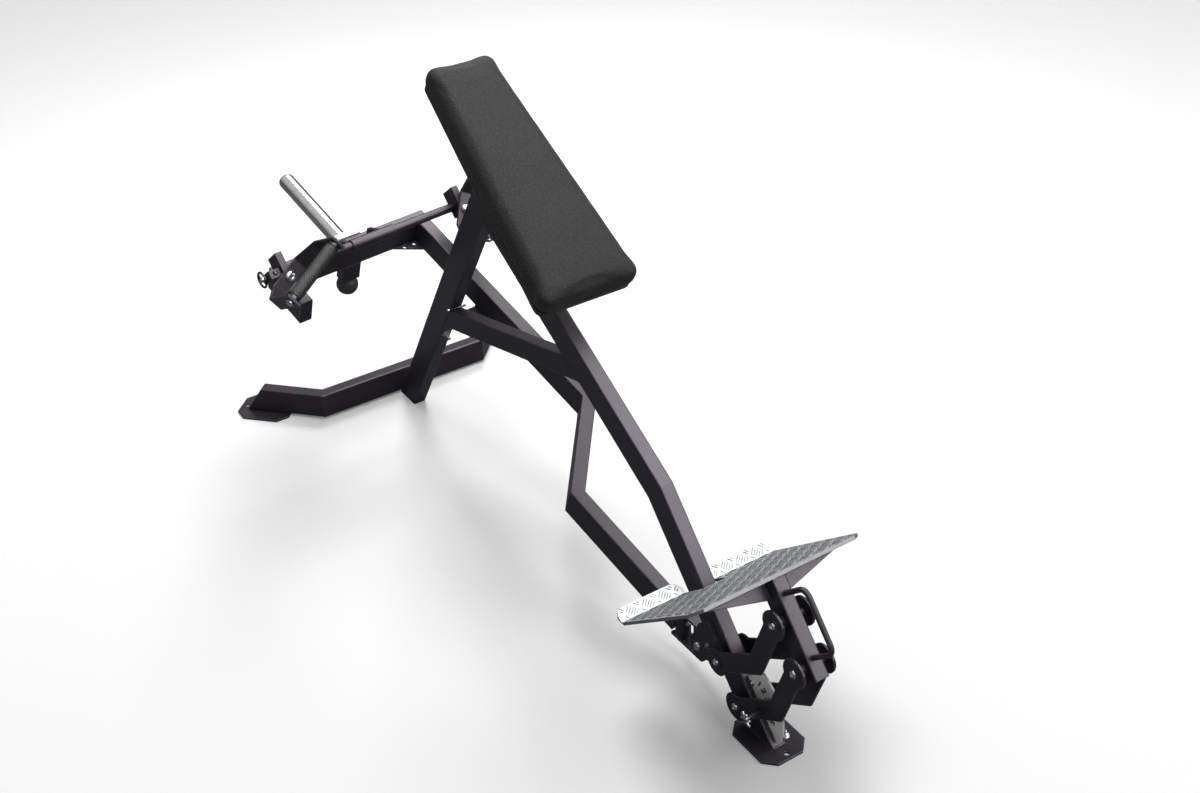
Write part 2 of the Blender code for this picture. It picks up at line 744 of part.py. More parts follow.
def build_pad():
    builder = bmesh.new()
    corner_steps = 6
    rings = []
    levels = [
        (0.0, PAD_DRAW_IN), (0.004, PAD_DRAW_IN - 0.004), (0.012, 0.002),
        (0.022, -PAD_BULGE * 0.7), (0.032, -PAD_BULGE), (0.041, -PAD_BULGE * 0.6),
    ]
    straight_top = PAD_CUSHION_THICK - PAD_CROWN - PAD_EDGE_ROUND * 0.7
    for k in range(1, 5):
        angle = math.pi / 2 * k / 4
        height = straight_top + PAD_EDGE_ROUND * 0.7 * math.sin(angle)
        inset = PAD_EDGE_ROUND * (1 - math.cos(angle))
        levels.append((height, inset))
    for inset, rise in ((0.040, 0.55), (0.070, 0.85), (0.098, 1.0)):
        levels.append((PAD_CUSHION_THICK - PAD_CROWN + PAD_CROWN * rise, inset))
    for height, inset in levels:
        outline = pad_outline(inset, corner_steps)
        rings.append([builder.verts.new((u, v, height)) for u, v in outline])
    for first, second in zip(rings, rings[1:]):
        join_loops(builder, first, second)
    builder.faces.new(rings[0])
    builder.faces.new(rings[-1])
    bmesh.ops.triangulate(builder, faces=[f for f in builder.faces if len(f.verts) > 4])
    make_object("chest_pad", builder, pad_frame(PAD_UNDERSIDE + BOARD_THICK), "vinyl", smooth=True)
    board = pad_outline(BOARD_INSET, 4)
    prism("pad_board", board, 0.0, BOARD_THICK - GAP, pad_frame(PAD_UNDERSIDE), "board")


def pad_plate_mesh(centre_along):
    """A mounting plate under the board, with its two bolts' holes."""
    half_u = PAD_PLATE_LENGTH / 2
    half_v = PAD_PLATE_WIDTH / 2
    corners = rectangle(centre_along - half_u, -half_v, centre_along + half_u, half_v)
    spots = [centre_along - PAD_BOLT_SPACING / 2, centre_along + PAD_BOLT_SPACING / 2]
    holes = [circle(u, 0.0, PAD_BOLT_RADIUS + BOLT_CLEARANCE, 12) for u in spots]
    return prism_mesh(rounded_polygon(corners, 0.012, 3), holes, 0.0, PAD_PLATE_THICK)


def build_pad_carriers():
    leg_top = meet(
        LEG_FRONT_FOOT.lerp(LEG_REAR_FOOT, 0.5), LEG_DIRECTION,
        PAD_FRONT - PAD_NORMAL * (PAD_STANDOFF - PAD_UNDERSIDE), PAD_DIRECTION,
    )
    leg_along = (leg_top - PAD_FRONT).dot(-PAD_DIRECTION)
    plate_frame = pad_frame(PAD_UNDERSIDE - PAD_PLATE_THICK - GAP)
    make_object("leg_top_plate", pad_plate_mesh(leg_along), plate_frame, "powder")
    top = PAD_UNDERSIDE - PAD_PLATE_THICK - GAP + WELD_DEPTH
    foot = PAD_FRONT - PAD_DIRECTION * STANDOFF_ALONG
    base = meet(foot, PAD_NORMAL, KNEE + HIGH_NORMAL * GAP, HIGH_DIRECTION)
    head = foot - PAD_NORMAL * (PAD_STANDOFF - top)
    cut = (HIGH_NORMAL.x, HIGH_NORMAL.y, 0.0)
    standoff = box_tube("pad_standoff", [base, head], SMALL_TUBE_TALL, TUBE_WIDE, SIDE_VIEW, ends=(cut, None))
    combine(standoff, cutter("standoff_plate", pad_plate_mesh(STANDOFF_ALONG), plate_frame), "UNION")


# Lift pivot and swivel

def add_pivot_lugs(beam):
    """Two lugs welded to the beam's sides that carry the lift bolt."""
    pivot_point = Vector((LIFT_X, LIFT_Z))
    distance = (pivot_point - KNEE).dot(LOW_DIRECTION)
    height = (pivot_point - KNEE).dot(LOW_NORMAL)
    top = -TUBE_TALL + LUG_FOOT_RISE
    radius = LUG_END_RADIUS
    outline = [(distance - LUG_HALF_LENGTH, top), (distance + LUG_HALF_LENGTH, top),
               (distance + LUG_HALF_LENGTH, -TUBE_TALL)]
    for k in range(9):
        angle = -math.pi * k / 8
        outline.append((distance + radius * math.cos(angle), height + radius * math.sin(angle)))
    outline.append((distance - LUG_HALF_LENGTH, -TUBE_TALL))
    hole = circle(distance, height, LIFT_BOLT_RADIUS + BOLT_CLEARANCE)
    frame = axes_matrix(side_point(KNEE), side_point(LOW_DIRECTION), -Y_AXIS)
    for side, name in ((-1, "near"), (1, "far")):
        inner = -side * (TUBE_WIDE / 2 - LUG_WELD)
        outer = -side * (TUBE_WIDE / 2 + LUG_THICK)
        low, high = sorted((inner, outer))
        combine(beam, cutter("pivot_lug_" + name, prism_mesh(outline, (hole,), low, high), frame), "UNION")
    half = TUBE_WIDE / 2 + GAP + LUG_THICK
    bolt("lift_bolt", side_point(pivot_point), LIFT_BOLT_RADIUS, LIFT_HEAD_RADIUS, half)


def bolt(name, place, radius, head_radius, half, parent=None):
    """A cross bolt along Y with a domed head on the near side and a nut on the far one."""
    head = BOLT_HEAD_HEIGHT
    profile = [
        (0.0, -half - head), (head_radius * 0.6, -half - head * 0.85), (head_radius, -half - head * 0.35),
        (head_radius, -half), (radius, -half), (radius, half), (head_radius, half),
        (head_radius, half + head), (0.0, half + head),
    ]
    frame = axes_matrix(place, (1, 0, 0), Y_AXIS)
    turned(name, profile, frame, "chrome", parent, steps=20)


def build_swivel(lift_pivot):
    """The yoke that tilts on the lift bolt and holds the upright swivel pin."""
    boss_half = SWIVEL_BOSS_HEIGHT / 2
    inner = boss_half + GAP
    outer = inner + YOKE_PLATE_THICK
    eye_x = LIFT_X - SWIVEL_X
    web = eye_x - LIFT_BOLT_RADIUS - 0.020
    frame = axes_matrix((SWIVEL_X, 0.0, SWIVEL_Z), (1, 0, 0), -Y_AXIS)
    back = eye_x + YOKE_EYE_RADIUS
    channel = [
        (-YOKE_WIDTH / 2, -outer), (back - 0.014, -outer), (back, -outer + 0.014), (back, outer - 0.014),
        (back - 0.014, outer), (-YOKE_WIDTH / 2, outer), (-YOKE_WIDTH / 2, inner), (web, inner),
        (web, -inner), (-YOKE_WIDTH / 2, -inner),
    ]
    hole = circle(eye_x, LIFT_Z - SWIVEL_Z, LIFT_BOLT_RADIUS + BOLT_CLEARANCE)
    half_width = TUBE_WIDE / 2 - GAP
    yoke = prism("swivel_yoke", channel, -half_width, half_width, frame, "powder", lift_pivot, holes=(hole,))
    bore = cylinder_cutter("yoke_pin_cutter", SWIVEL_PIN_RADIUS + BOLT_CLEARANCE, -outer - 0.01,
                           outer + 0.01, Matrix.Translation((SWIVEL_X, 0.0, SWIVEL_Z)))
    combine(yoke, bore, "DIFFERENCE")
    head = SWIVEL_HEAD_RADIUS
    low = -outer - GAP
    high = outer + GAP
    profile = [
        (0.0, low - 0.010), (head - 0.003, low - 0.010), (head, low - 0.007), (head, low),
        (SWIVEL_PIN_RADIUS, low), (SWIVEL_PIN_RADIUS, high), (head, high), (head, high + 0.006),
        (head - 0.004, high + 0.009), (0.0, high + 0.009),
    ]
    turned("swivel_pin", profile, Matrix.Translation((SWIVEL_X, 0.0, SWIVEL_Z)), "zinc", lift_pivot)


# Lever

def lever_matrix():
    """Lever directions as columns: forward, right, up, with the swivel as origin."""
    cos_yaw = math.cos(LEVER_YAW)
    sin_yaw = math.sin(LEVER_YAW)
    cos_pitch = math.cos(LEVER_PITCH)
    sin_pitch = math.sin(LEVER_PITCH)
    forward = Vector((-cos_pitch * cos_yaw, -cos_pitch * sin_yaw, sin_pitch))
    right = Vector((-sin_yaw, cos_yaw, 0.0))
    up = right.cross(forward) * -1.0
    if up.z < 0:
        up.negate()
    matrix = Matrix((forward, right, up)).transposed().to_4x4()
    matrix.translation = Vector((SWIVEL_X, 0.0, SWIVEL_Z))
    return matrix


LEVER = lever_matrix()


def lever_place(forward, right, up):
    return LEVER @ Vector((forward, right, up))


def lever_frame(origin, x_axis, z_axis):
    """A frame whose origin and axes are given in the lever's directions."""
    turn = LEVER.to_3x3()
    return axes_matrix(lever_place(*origin), turn @ Vector(x_axis), turn @ Vector(z_axis))


FORWARD = (1.0, 0.0, 0.0)
RIGHT = (0.0, 1.0, 0.0)
UP = (0.0, 0.0, 1.0)
HEAD_FRONT = HEAD_FORWARD + TUBE_WIDE
HEAD_RIGHT = ARM_RIGHT + TUBE_WIDE / 2


def lever_plan():
    """Flat frame with X forward and Y to the left, so that Z is up."""
    return lever_frame((0, 0, 0), FORWARD, UP)


def plan(forward, right):
    """A point of the lever's plan in lever_plan coordinates."""
    probe = lever_plan().inverted() @ lever_place(forward, right, 0.0)
    return (probe.x, probe.y)


def build_lever(swing_pivot):
    start = SWIVEL_BOSS_RADIUS * 0.6
    path = [plan(start, 0.0), plan(LEVER_BEND_START, 0.0), plan(LEVER_BEND_END, ARM_RIGHT),
            plan(HEAD_FORWARD - GAP, ARM_RIGHT)]
    arm = box_tube("lever_arm", path, TUBE_WIDE, TUBE_TALL, lever_plan(), swing_pivot)
    upright = Matrix.Translation((SWIVEL_X, 0.0, SWIVEL_Z))
    half = SWIVEL_BOSS_HEIGHT / 2
    square = rectangle(-BOSS_TRIM, -BOSS_TRIM, BOSS_TRIM, BOSS_TRIM)
    trim = cutter("arm_trim_cutter", prism_mesh(square, (), half - 0.0002, 0.2), upright)
    combine(arm, trim, "DIFFERENCE")
    low_trim = cutter("arm_low_trim_cutter",
                      prism_mesh(square, (), -0.2, 0.0002 - half), upright)
    combine(arm, low_trim, "DIFFERENCE")
    boss = cylinder_cutter("arm_boss_body", SWIVEL_BOSS_RADIUS, -half, half, upright)
    combine(arm, boss, "UNION")
    bore = cylinder_cutter("arm_boss_bore", SWIVEL_PIN_RADIUS + BOLT_CLEARANCE, -0.1, 0.1, upright)
    combine(arm, bore, "DIFFERENCE")

    centre = HEAD_FORWARD + TUBE_WIDE / 2
    cross_path = [plan(centre, -HEAD_RIGHT), plan(centre, HEAD_RIGHT)]
    box_tube("head_crossbar", cross_path, TUBE_WIDE, TUBE_TALL, lever_plan(), swing_pivot,
             capped=(True, False))
    left_path = [plan(HEAD_FORWARD - LEFT_ARM_LENGTH, -ARM_RIGHT), plan(HEAD_FORWARD - GAP, -ARM_RIGHT)]
    box_tube("left_arm", left_path, TUBE_WIDE, TUBE_TALL, lever_plan(), swing_pivot, capped=(True, False))

    inner = ARM_RIGHT - TUBE_WIDE / 2 - GAP
    face = HEAD_FORWARD - GAP
    triangle = [plan(face, inner), plan(face, inner - GUSSET_ACROSS), plan(face - GUSSET_ALONG, inner)]
    holes = []
    for forward, right in ((face - 0.012, inner - 0.048), (face - 0.013, inner - 0.014)):
        u, v = plan(forward, right)
        holes.append(circle(u, v, GUSSET_HOLE_RADIUS, 12))
    prism("head_gusset", triangle, GUSSET_UP - GUSSET_THICK / 2, GUSSET_UP + GUSSET_THICK / 2,
          lever_plan(), "powder", swing_pivot, holes=holes)


def build_head_fittings(swing_pivot):
    front = HEAD_FRONT + GAP
    half = PEG_PLATE_HALF
    square = rounded_polygon(rectangle(-half, -half, half, half), PEG_PLATE_CORNER, 3)
    prism("peg_plate", square, 0.0, PEG_PLATE_THICK, lever_frame((front, 0, 0), RIGHT, FORWARD),
          "chrome", swing_pivot, smooth=True)
    base = PEG_PLATE_THICK + GAP
    tip = base + PEG_LENGTH
    wall = PEG_RADIUS - PEG_WALL
    profile = [(0.0, tip), (PEG_RADIUS - 0.008, tip), (PEG_RADIUS - 0.002, tip - 0.003),
               (PEG_RADIUS, tip - 0.009), (PEG_RADIUS, base), (wall, base), (wall, tip - 0.015),
               (0.0, tip - 0.015)]
    turned("weight_peg", profile, lever_frame((front, 0, 0), RIGHT, FORWARD), "chrome", swing_pivot, steps=32)

    top = -TUBE_TALL / 2 - GAP
    centre = HEAD_FORWARD + STUB_ALONG / 2
    stub_path = [(0.0, 0.0), (0.0, STUB_DROP)]
    stub_frame = lever_frame((centre, 0, top), (0, 0, -1), RIGHT)
    stub_frame = stub_frame @ Matrix.Rotation(-math.pi / 2, 4, "Z")
    box_tube("bumper_stub", stub_path, STUB_ALONG, STUB_ACROSS, stub_frame, swing_pivot,
             capped=(False, True))
    ball_top = -TUBE_TALL / 2 - STUB_DROP - 3 * GAP
    start = math.asin(BALL_STEM_RADIUS / BALL_RADIUS)
    profile = [(0.0, 0.0), (BALL_STEM_RADIUS, 0.0)]
    centre_drop = -BALL_RADIUS * math.cos(start)
    steps = 9
    for k in range(1, steps):
        angle = start + (math.pi - start) * k / steps
        profile.append((BALL_RADIUS * math.sin(angle), centre_drop + BALL_RADIUS * math.cos(angle)))
    profile.append((0.0, centre_drop - BALL_RADIUS))
    turned("bumper_ball", profile, lever_frame((centre, 0, ball_top), RIGHT, UP), "rubber", swing_pivot)


def build_sleeve(swing_pivot):
    """The sleeve for the handle rod, on two brackets that stand on the crossbar."""
    frame = lever_frame((ROD_FORWARD, 0, ROD_UP), FORWARD, RIGHT)
    bore = ROD_RADIUS + BOLT_CLEARANCE
    profile = [(bore, -SLEEVE_LEFT), (SLEEVE_RADIUS, -SLEEVE_LEFT), (SLEEVE_RADIUS, SLEEVE_RIGHT),
               (bore, SLEEVE_RIGHT)]
    sleeve = turned("handle_sleeve", profile, frame, "powder", swing_pivot, hollow=True)
    top = TUBE_TALL / 2 + GAP
    for place, name in ((-BRACKET_LEFT, "left"), (BRACKET_RIGHT, "right")):
        low = place - BRACKET_THICK / 2
        side_frame = lever_frame((0, 0, 0), FORWARD, RIGHT)
        inverse = side_frame.inverted()

        def spot(forward, up):
            probe = inverse @ lever_place(forward, 0.0, up)
            return (probe.x, probe.y)

        cradle = []
        reach = SLEEVE_RADIUS - WELD_DEPTH
        for k in range(9):
            angle = math.radians(-115 + 90 * k / 8)
            cradle.append(spot(ROD_FORWARD + reach * math.cos(angle), ROD_UP + reach * math.sin(angle)))
        outline = cradle + [spot(HEAD_FRONT - 0.004, top + 0.012), spot(HEAD_FRONT - 0.004, top),
                            spot(HEAD_FORWARD + 0.002, top), spot(HEAD_FORWARD - 0.012, top + 0.014)]
        body = cutter("sleeve_bracket_" + name, prism_mesh(outline, (), low, low + BRACKET_THICK), side_frame)
        combine(sleeve, body, "UNION")


# Handle carriage

def side_view_of_lever(right=0.0):
    """Flat frame with X forward and Y up, at a distance to the right, Z to the left."""
    frame = lever_frame((0, right, 0), FORWARD, (0.0, -1.0, 0.0))
    up_axis = frame.to_3x3() @ Vector((0, 1, 0))
    if up_axis.z < 0:
        frame = frame @ Matrix.Rotation(math.pi, 4, "X")
    return frame


def build_carriage(tilt_pivot):
    """The rod in the sleeve with a hanger, a clamp block and a ring pin at each end."""
    half = HANGER_RIGHT + HANGER_THICK + GAP
    rod_frame = lever_frame((ROD_FORWARD, 0, ROD_UP), FORWARD, RIGHT)
    rod_profile = rounded_bar_profile(ROD_RADIUS, CARRIAGE_SHIFT - half, CARRIAGE_SHIFT + half, 0.001)
    turned("handle_rod", rod_profile, rod_frame, "powder", tilt_pivot)
    slope = Vector((math.cos(HANGER_SLOPE), math.sin(HANGER_SLOPE)))
    across = Vector((-slope.y, slope.x))
    rod = Vector((ROD_FORWARD, ROD_UP))
    top = rod + slope * HANGER_REACH + across * HANGER_OFFSET
    upper = top + across * HANGER_WIDTH / 2
    lower = top - across * HANGER_WIDTH / 2
    axis = Vector((math.cos(GRIP_AXIS_TILT), math.sin(GRIP_AXIS_TILT)))
    seat_line = Vector((axis.y, -axis.x))
    seat = Vector((GRIP_AXIS_FORWARD, GRIP_AXIS_UP)) - axis * (BAND_THICK / 2 + GAP)
    seat_start = meet(upper, slope, seat, seat_line)
    seat_end = seat - seat_line * HANGER_TAIL
    outline = [tuple(upper), tuple(lower), tuple(meet(lower, slope, seat_end, axis)), tuple(seat_end),
               tuple(seat_start)]
    hole = circle(ROD_FORWARD, ROD_UP, ROD_RADIUS + GAP, 24)
    clamp = [rod + slope * u + across * v for u, v in rectangle(
        -CLAMP_TOWARD_END, -CLAMP_BELOW, CLAMP_TOWARD_TOP, CLAMP_ABOVE)]
    clamp_outline = rounded_polygon([tuple(point) for point in clamp], 0.003, 2)
    for side, name in ((-1, "left"), (1, "right")):
        low, high = side_range(side * HANGER_RIGHT, side * (HANGER_RIGHT + HANGER_THICK))
        hanger = prism("hanger_" + name, outline, low, high, side_view_of_lever(), "powder", tilt_pivot,
                       holes=(hole,))
        bore_radius = BAND_BOLT_SHANK + BOLT_CLEARANCE
        bore = cylinder_cutter("hanger_bore_" + name, bore_radius, -BAND_BOLT_DEPTH - 0.010,
                               0.01, grip_axis_frame(side, 0.0), 16)
        combine(hanger, bore, "DIFFERENCE")
        low, high = side_range(side * (half + GAP), side * (half + GAP + CLAMP_LENGTH))
        block = prism("clamp_" + name, clamp_outline, low, high, side_view_of_lever(), "powder", tilt_pivot)
        pin_right = CARRIAGE_SHIFT + side * (half + GAP)
        pin_frame = lever_frame((ROD_FORWARD, pin_right, ROD_UP), FORWARD, (0.0, float(side), 0.0))
        drill = cylinder_cutter("clamp_bore_" + name, RING_PIN_RADIUS + SLIDE_CLEARANCE, -0.01,
                                CLAMP_LENGTH + 0.01, pin_frame, 16)
        combine(block, drill, "DIFFERENCE")
        build_ring_pin(name, pin_frame, tilt_pivot)


def side_range(first, second):
    """Two distances to the right as sorted heights of side_view_of_lever."""
    frame = side_view_of_lever()
    outward = (frame.to_3x3() @ Vector((0, 0, 1))).dot(LEVER.to_3x3() @ Vector((0, 1, 0)))
    sign = 1 if outward > 0 else -1
    return sorted(((first + CARRIAGE_SHIFT) * sign, (second + CARRIAGE_SHIFT) * sign))


def build_ring_pin(name, pin_frame, parent):
    """A pull pin in the clamp block, with a ring round its end."""
    ring_at = CLAMP_LENGTH + RING_OUT
    stem = [(0.0, GAP), (RING_PIN_RADIUS, GAP), (RING_PIN_RADIUS, CLAMP_LENGTH + GAP),
            (RING_NECK_RADIUS, CLAMP_LENGTH + GAP), (RING_NECK_RADIUS, ring_at - 0.002),
            (RING_NECK_RADIUS - 0.002, ring_at + 0.0045), (0.0, ring_at + 0.0045)]
    pin = turned("ring_pin_" + name, stem, pin_frame, "zinc", parent, steps=16)
    ring = []
    for k in range(8):
        angle = 2 * math.pi * (k + 0.5) / 8
        ring.append((RING_RADIUS + RING_WIRE * math.cos(angle), ring_at + RING_WIRE * math.sin(angle)))
    body = cutter("ring_body_" + name, turned_mesh(ring, 24, hollow=True), pin_frame)
    combine(pin, body, "UNION")
    bar_frame = pin_frame @ axes_matrix((0, 0, ring_at), (0, 0, 1), (1, 0, 0))
    bar = cylinder_cutter("ring_bar_" + name, RING_WIRE * 0.7, -RING_RADIUS, RING_RADIUS, bar_frame, 8)
    combine(pin, bar, "UNION")


# Grips

def grip_axis_frame(side, turn):
    """Origin on the swivel axis in the band's flat, X along the grip, Y out of the band."""
    turned_in = -side * math.cos(turn)
    forward = math.sin(turn) * math.sin(GRIP_AXIS_TILT)
    up = -math.sin(turn) * math.cos(GRIP_AXIS_TILT)
    pin_right = CARRIAGE_SHIFT + side * (HANGER_RIGHT + HANGER_THICK / 2)
    origin = lever_place(GRIP_AXIS_FORWARD, pin_right, GRIP_AXIS_UP)
    turn_matrix = LEVER.to_3x3()
    grip_line = turn_matrix @ Vector((forward, turned_in, up))
    outward = turn_matrix @ Vector((math.cos(GRIP_AXIS_TILT), 0.0, math.sin(GRIP_AXIS_TILT)))
    flat = axes_matrix(origin, grip_line, grip_line.cross(outward))
    return flat @ Matrix.Rotation(math.pi / 2, 4, "X") @ Matrix.Rotation(math.pi, 4, "X")


def band_frame(side, turn):
    """Origin as grip_axis_frame's, with Y out of the band and Z across its width."""
    return grip_axis_frame(side, turn) @ Matrix.Rotation(math.pi / 2, 4, "X")


def build_grip(side, name, turn, tilt_pivot):
    axis_frame = grip_axis_frame(side, turn)
    swivel_pivot = pivot("grip_axis_" + name, axis_frame, tilt_pivot)
    frame = band_frame(side, turn)
    half = BAND_WIDTH / 2
    path = [(GRIP_HALF, BAND_REACH), (GRIP_HALF, BAND_CORNER), (BAND_FLAT_HALF, 0.0),
            (-BAND_FLAT_HALF, 0.0), (-GRIP_HALF, BAND_CORNER), (-GRIP_HALF, BAND_REACH)]
    sign = band_sign(frame, axis_frame)
    shaped = [(u, v * sign) for u, v in path]
    band = prism("handle_band_" + name, strip_outline(shaped, BAND_THICK), -half, half, frame, "powder",
                 swivel_pivot)
    shank_hole = cylinder_cutter("band_bolt_cutter_" + name, BAND_BOLT_SHANK + BOLT_CLEARANCE, -0.02, 0.02,
                                 axis_frame, 16)
    combine(band, shank_hole, "DIFFERENCE")
    rod_frame = axes_matrix(frame @ Vector((0.0, GRIP_OUT * sign, 0.0)), frame.to_3x3().col[2],
                            frame.to_3x3().col[0])
    rod_hole = cylinder_cutter("band_rod_cutter_" + name, GRIP_ROD_RADIUS + BOLT_CLEARANCE, -GRIP_HALF - 0.02,
                               GRIP_HALF + 0.02, rod_frame)
    combine(band, rod_hole, "DIFFERENCE")

    seat = GRIP_HALF + BAND_THICK / 2 + GAP
    tip = seat + GRIP_HEAD_HEIGHT
    shoulder = seat + GRIP_HEAD_HEIGHT * 0.5
    narrow = GRIP_HEAD_RADIUS * 0.7
    profile = [(0.0, -tip), (narrow, -tip), (GRIP_HEAD_RADIUS, -shoulder), (GRIP_HEAD_RADIUS, -seat),
               (GRIP_ROD_RADIUS, -seat), (GRIP_ROD_RADIUS, seat), (GRIP_HEAD_RADIUS, seat),
               (GRIP_HEAD_RADIUS, shoulder), (narrow, tip), (0.0, tip)]
    turned("grip_rod_" + name, profile, rod_frame, "chrome", swivel_pivot)
    bore = GRIP_ROD_RADIUS + GAP
    outer = GRIP_HALF - BAND_THICK / 2 - GAP
    inner = outer - COLLAR_LENGTH
    for end, label in ((-1, "outer"), (1, "inner")):
        low, high = sorted((end * inner, end * outer))
        collar = [(bore, low), (COLLAR_RADIUS - 0.001, low), (COLLAR_RADIUS, low + 0.001),
                  (COLLAR_RADIUS, high - 0.001), (COLLAR_RADIUS - 0.001, high), (bore, high)]
        collar_name = "grip_collar_%s_%s" % (name, label)
        turned(collar_name, collar, rod_frame, "chrome", swivel_pivot, hollow=True)
    reach = inner - GAP
    sleeve = [(bore, -reach), (GRIP_RADIUS - 0.002, -reach), (GRIP_RADIUS, 0.002 - reach),
              (GRIP_RADIUS, reach - 0.002), (GRIP_RADIUS - 0.002, reach), (bore, reach)]
    turned("grip_rubber_" + name, sleeve, rod_frame, "rubber", swivel_pivot, hollow=True)

    face = BAND_THICK / 2 + GAP
    head = [(radius, face + height) for radius, height in dome_profile(BAND_BOLT_RADIUS, BAND_BOLT_HEIGHT)]
    deep = face - BAND_THICK - BAND_BOLT_DEPTH
    bolt_profile = [(0.0, deep), (BAND_BOLT_SHANK, deep), (BAND_BOLT_SHANK, face)] + head[1:]
    turned("band_bolt_" + name, bolt_profile, axis_frame, "chrome", tilt_pivot)


def band_sign(frame, axis_frame):
    """Whether the frame's Y points out of the band or into it."""
    return 1.0 if frame.to_3x3().col[1].dot(axis_frame.to_3x3().col[2]) > 0 else -1.0


# Foot platform linkage

LINK_PIVOTS = {
    "lower_upper": beam_point(LINK_FIRST_ALONG, -LINK_PIVOT_DEPTH),
    "lower_lower": beam_point(LINK_FIRST_ALONG + LINK_SPACING, -LINK_PIVOT_DEPTH),
}
LINK_SHIFT = beam_point(LINK_LENGTH_BACK, LINK_LENGTH_UP) - beam_point(0.0, 0.0)
LINK_PIVOTS["upper_upper"] = LINK_PIVOTS["lower_upper"] + LINK_SHIFT
LINK_PIVOTS["upper_lower"] = LINK_PIVOTS["lower_lower"] + LINK_SHIFT


def link_outline():
    """A bent link in beam directions, with its lower eye at the origin."""
    low = Vector((0.0, 0.0))
    elbow = Vector((LINK_ELBOW_ALONG, LINK_ELBOW_UP))
    high = Vector((LINK_LENGTH_BACK, LINK_LENGTH_UP))
    half = LINK_BAR_WIDTH / 2
    first = (elbow - low).normalized()
    second = (high - elbow).normalized()
    left_first = Vector((-first.y, first.x))
    left_second = Vector((-second.y, second.x))
    flare = math.asin(half / LINK_EYE_RADIUS)
    outline = []
    base_angle = math.atan2(first.y, first.x)
    for k in range(13):
        angle = base_angle + flare + (2 * math.pi - 2 * flare) * k / 12
        outline.append(tuple(low + Vector((math.cos(angle), math.sin(angle))) * LINK_EYE_RADIUS))
    right_bend = meet(low - left_first * half, first, high - left_second * half, second)
    outline.append(tuple(right_bend))
    base_angle = math.atan2(-second.y, -second.x)
    for k in range(13):
        angle = base_angle + flare + (2 * math.pi - 2 * flare) * k / 12
        outline.append(tuple(high + Vector((math.cos(angle), math.sin(angle))) * LINK_EYE_RADIUS))
    left_bend = meet(low + left_first * half, first, high + left_second * half, second)
    outline.append(tuple(left_bend))
    return outline


def link_frame(place):
    frame = axes_matrix(place, side_point(LOW_DIRECTION), -Y_AXIS)
    return frame


def build_links():
    outline = link_outline()
    hole_radius = LINK_BOLT_RADIUS + BOLT_CLEARANCE
    pivots = {}
    for level in ("upper", "lower"):
        place = LINK_PIVOTS["lower_" + level]
        link_pivot = pivot("link_axis_" + level, link_frame(place))
        pivots[level] = link_pivot
        holes = [circle(0.0, 0.0, hole_radius, 20), circle(LINK_LENGTH_BACK, LINK_LENGTH_UP, hole_radius, 20)]
        for side, name in ((-1, "near"), (1, "far")):
            low, high = sorted((-side * LINK_INNER, -side * (LINK_INNER + LINK_THICK)))
            prism("link_%s_%s" % (level, name), outline, low, high, link_frame(place), "powder",
                  link_pivot, holes=holes)
        half = LINK_INNER + LINK_THICK + GAP
        bolt("beam_bolt_" + level, place, LINK_BOLT_RADIUS, LINK_HEAD_RADIUS, half, None)
    return pivots


def build_platform(carrier):
    post_top = LINK_PIVOTS["upper_upper"]
    base = Vector((post_top.x, post_top.z)) + LOW_NORMAL * (POST_PIVOT_DEPTH - POST_DEPTH / 2)
    end = base + LOW_DIRECTION * (LINK_SPACING + POST_BELOW_PIVOT)
    fold = Vector((PLATFORM_FOLD_X, PLATFORM_FOLD_Z))
    plate_direction = along(PLATFORM_ANGLE, 1.0)
    plate_normal = along(PLATFORM_ANGLE + math.pi / 2, 1.0)
    underside = fold - plate_normal * (PLATFORM_THICK + GAP)
    head = meet(base, LOW_DIRECTION, underside, plate_direction)
    cut = (plate_normal.x, plate_normal.y, 0.0)
    post = box_tube("foot_post", [head, end], POST_DEPTH, POST_WIDE, SIDE_VIEW, carrier,
                    ends=(cut, None), capped=(False, True))
    half = LINK_INNER + LINK_THICK + GAP
    bolt("post_bolt_upper", LINK_PIVOTS["upper_upper"], LINK_BOLT_RADIUS, LINK_HEAD_RADIUS, half, carrier)
    bolt("post_bolt_lower", LINK_PIVOTS["upper_lower"], LINK_BOLT_RADIUS, LINK_HEAD_RADIUS, half, carrier)
    build_tread(carrier)
    add_wings(post, post_top)
    add_bushes(post, "post_bush", (LINK_PIVOTS["upper_upper"], LINK_PIVOTS["upper_lower"]))
    build_post_handle(carrier, post_top)


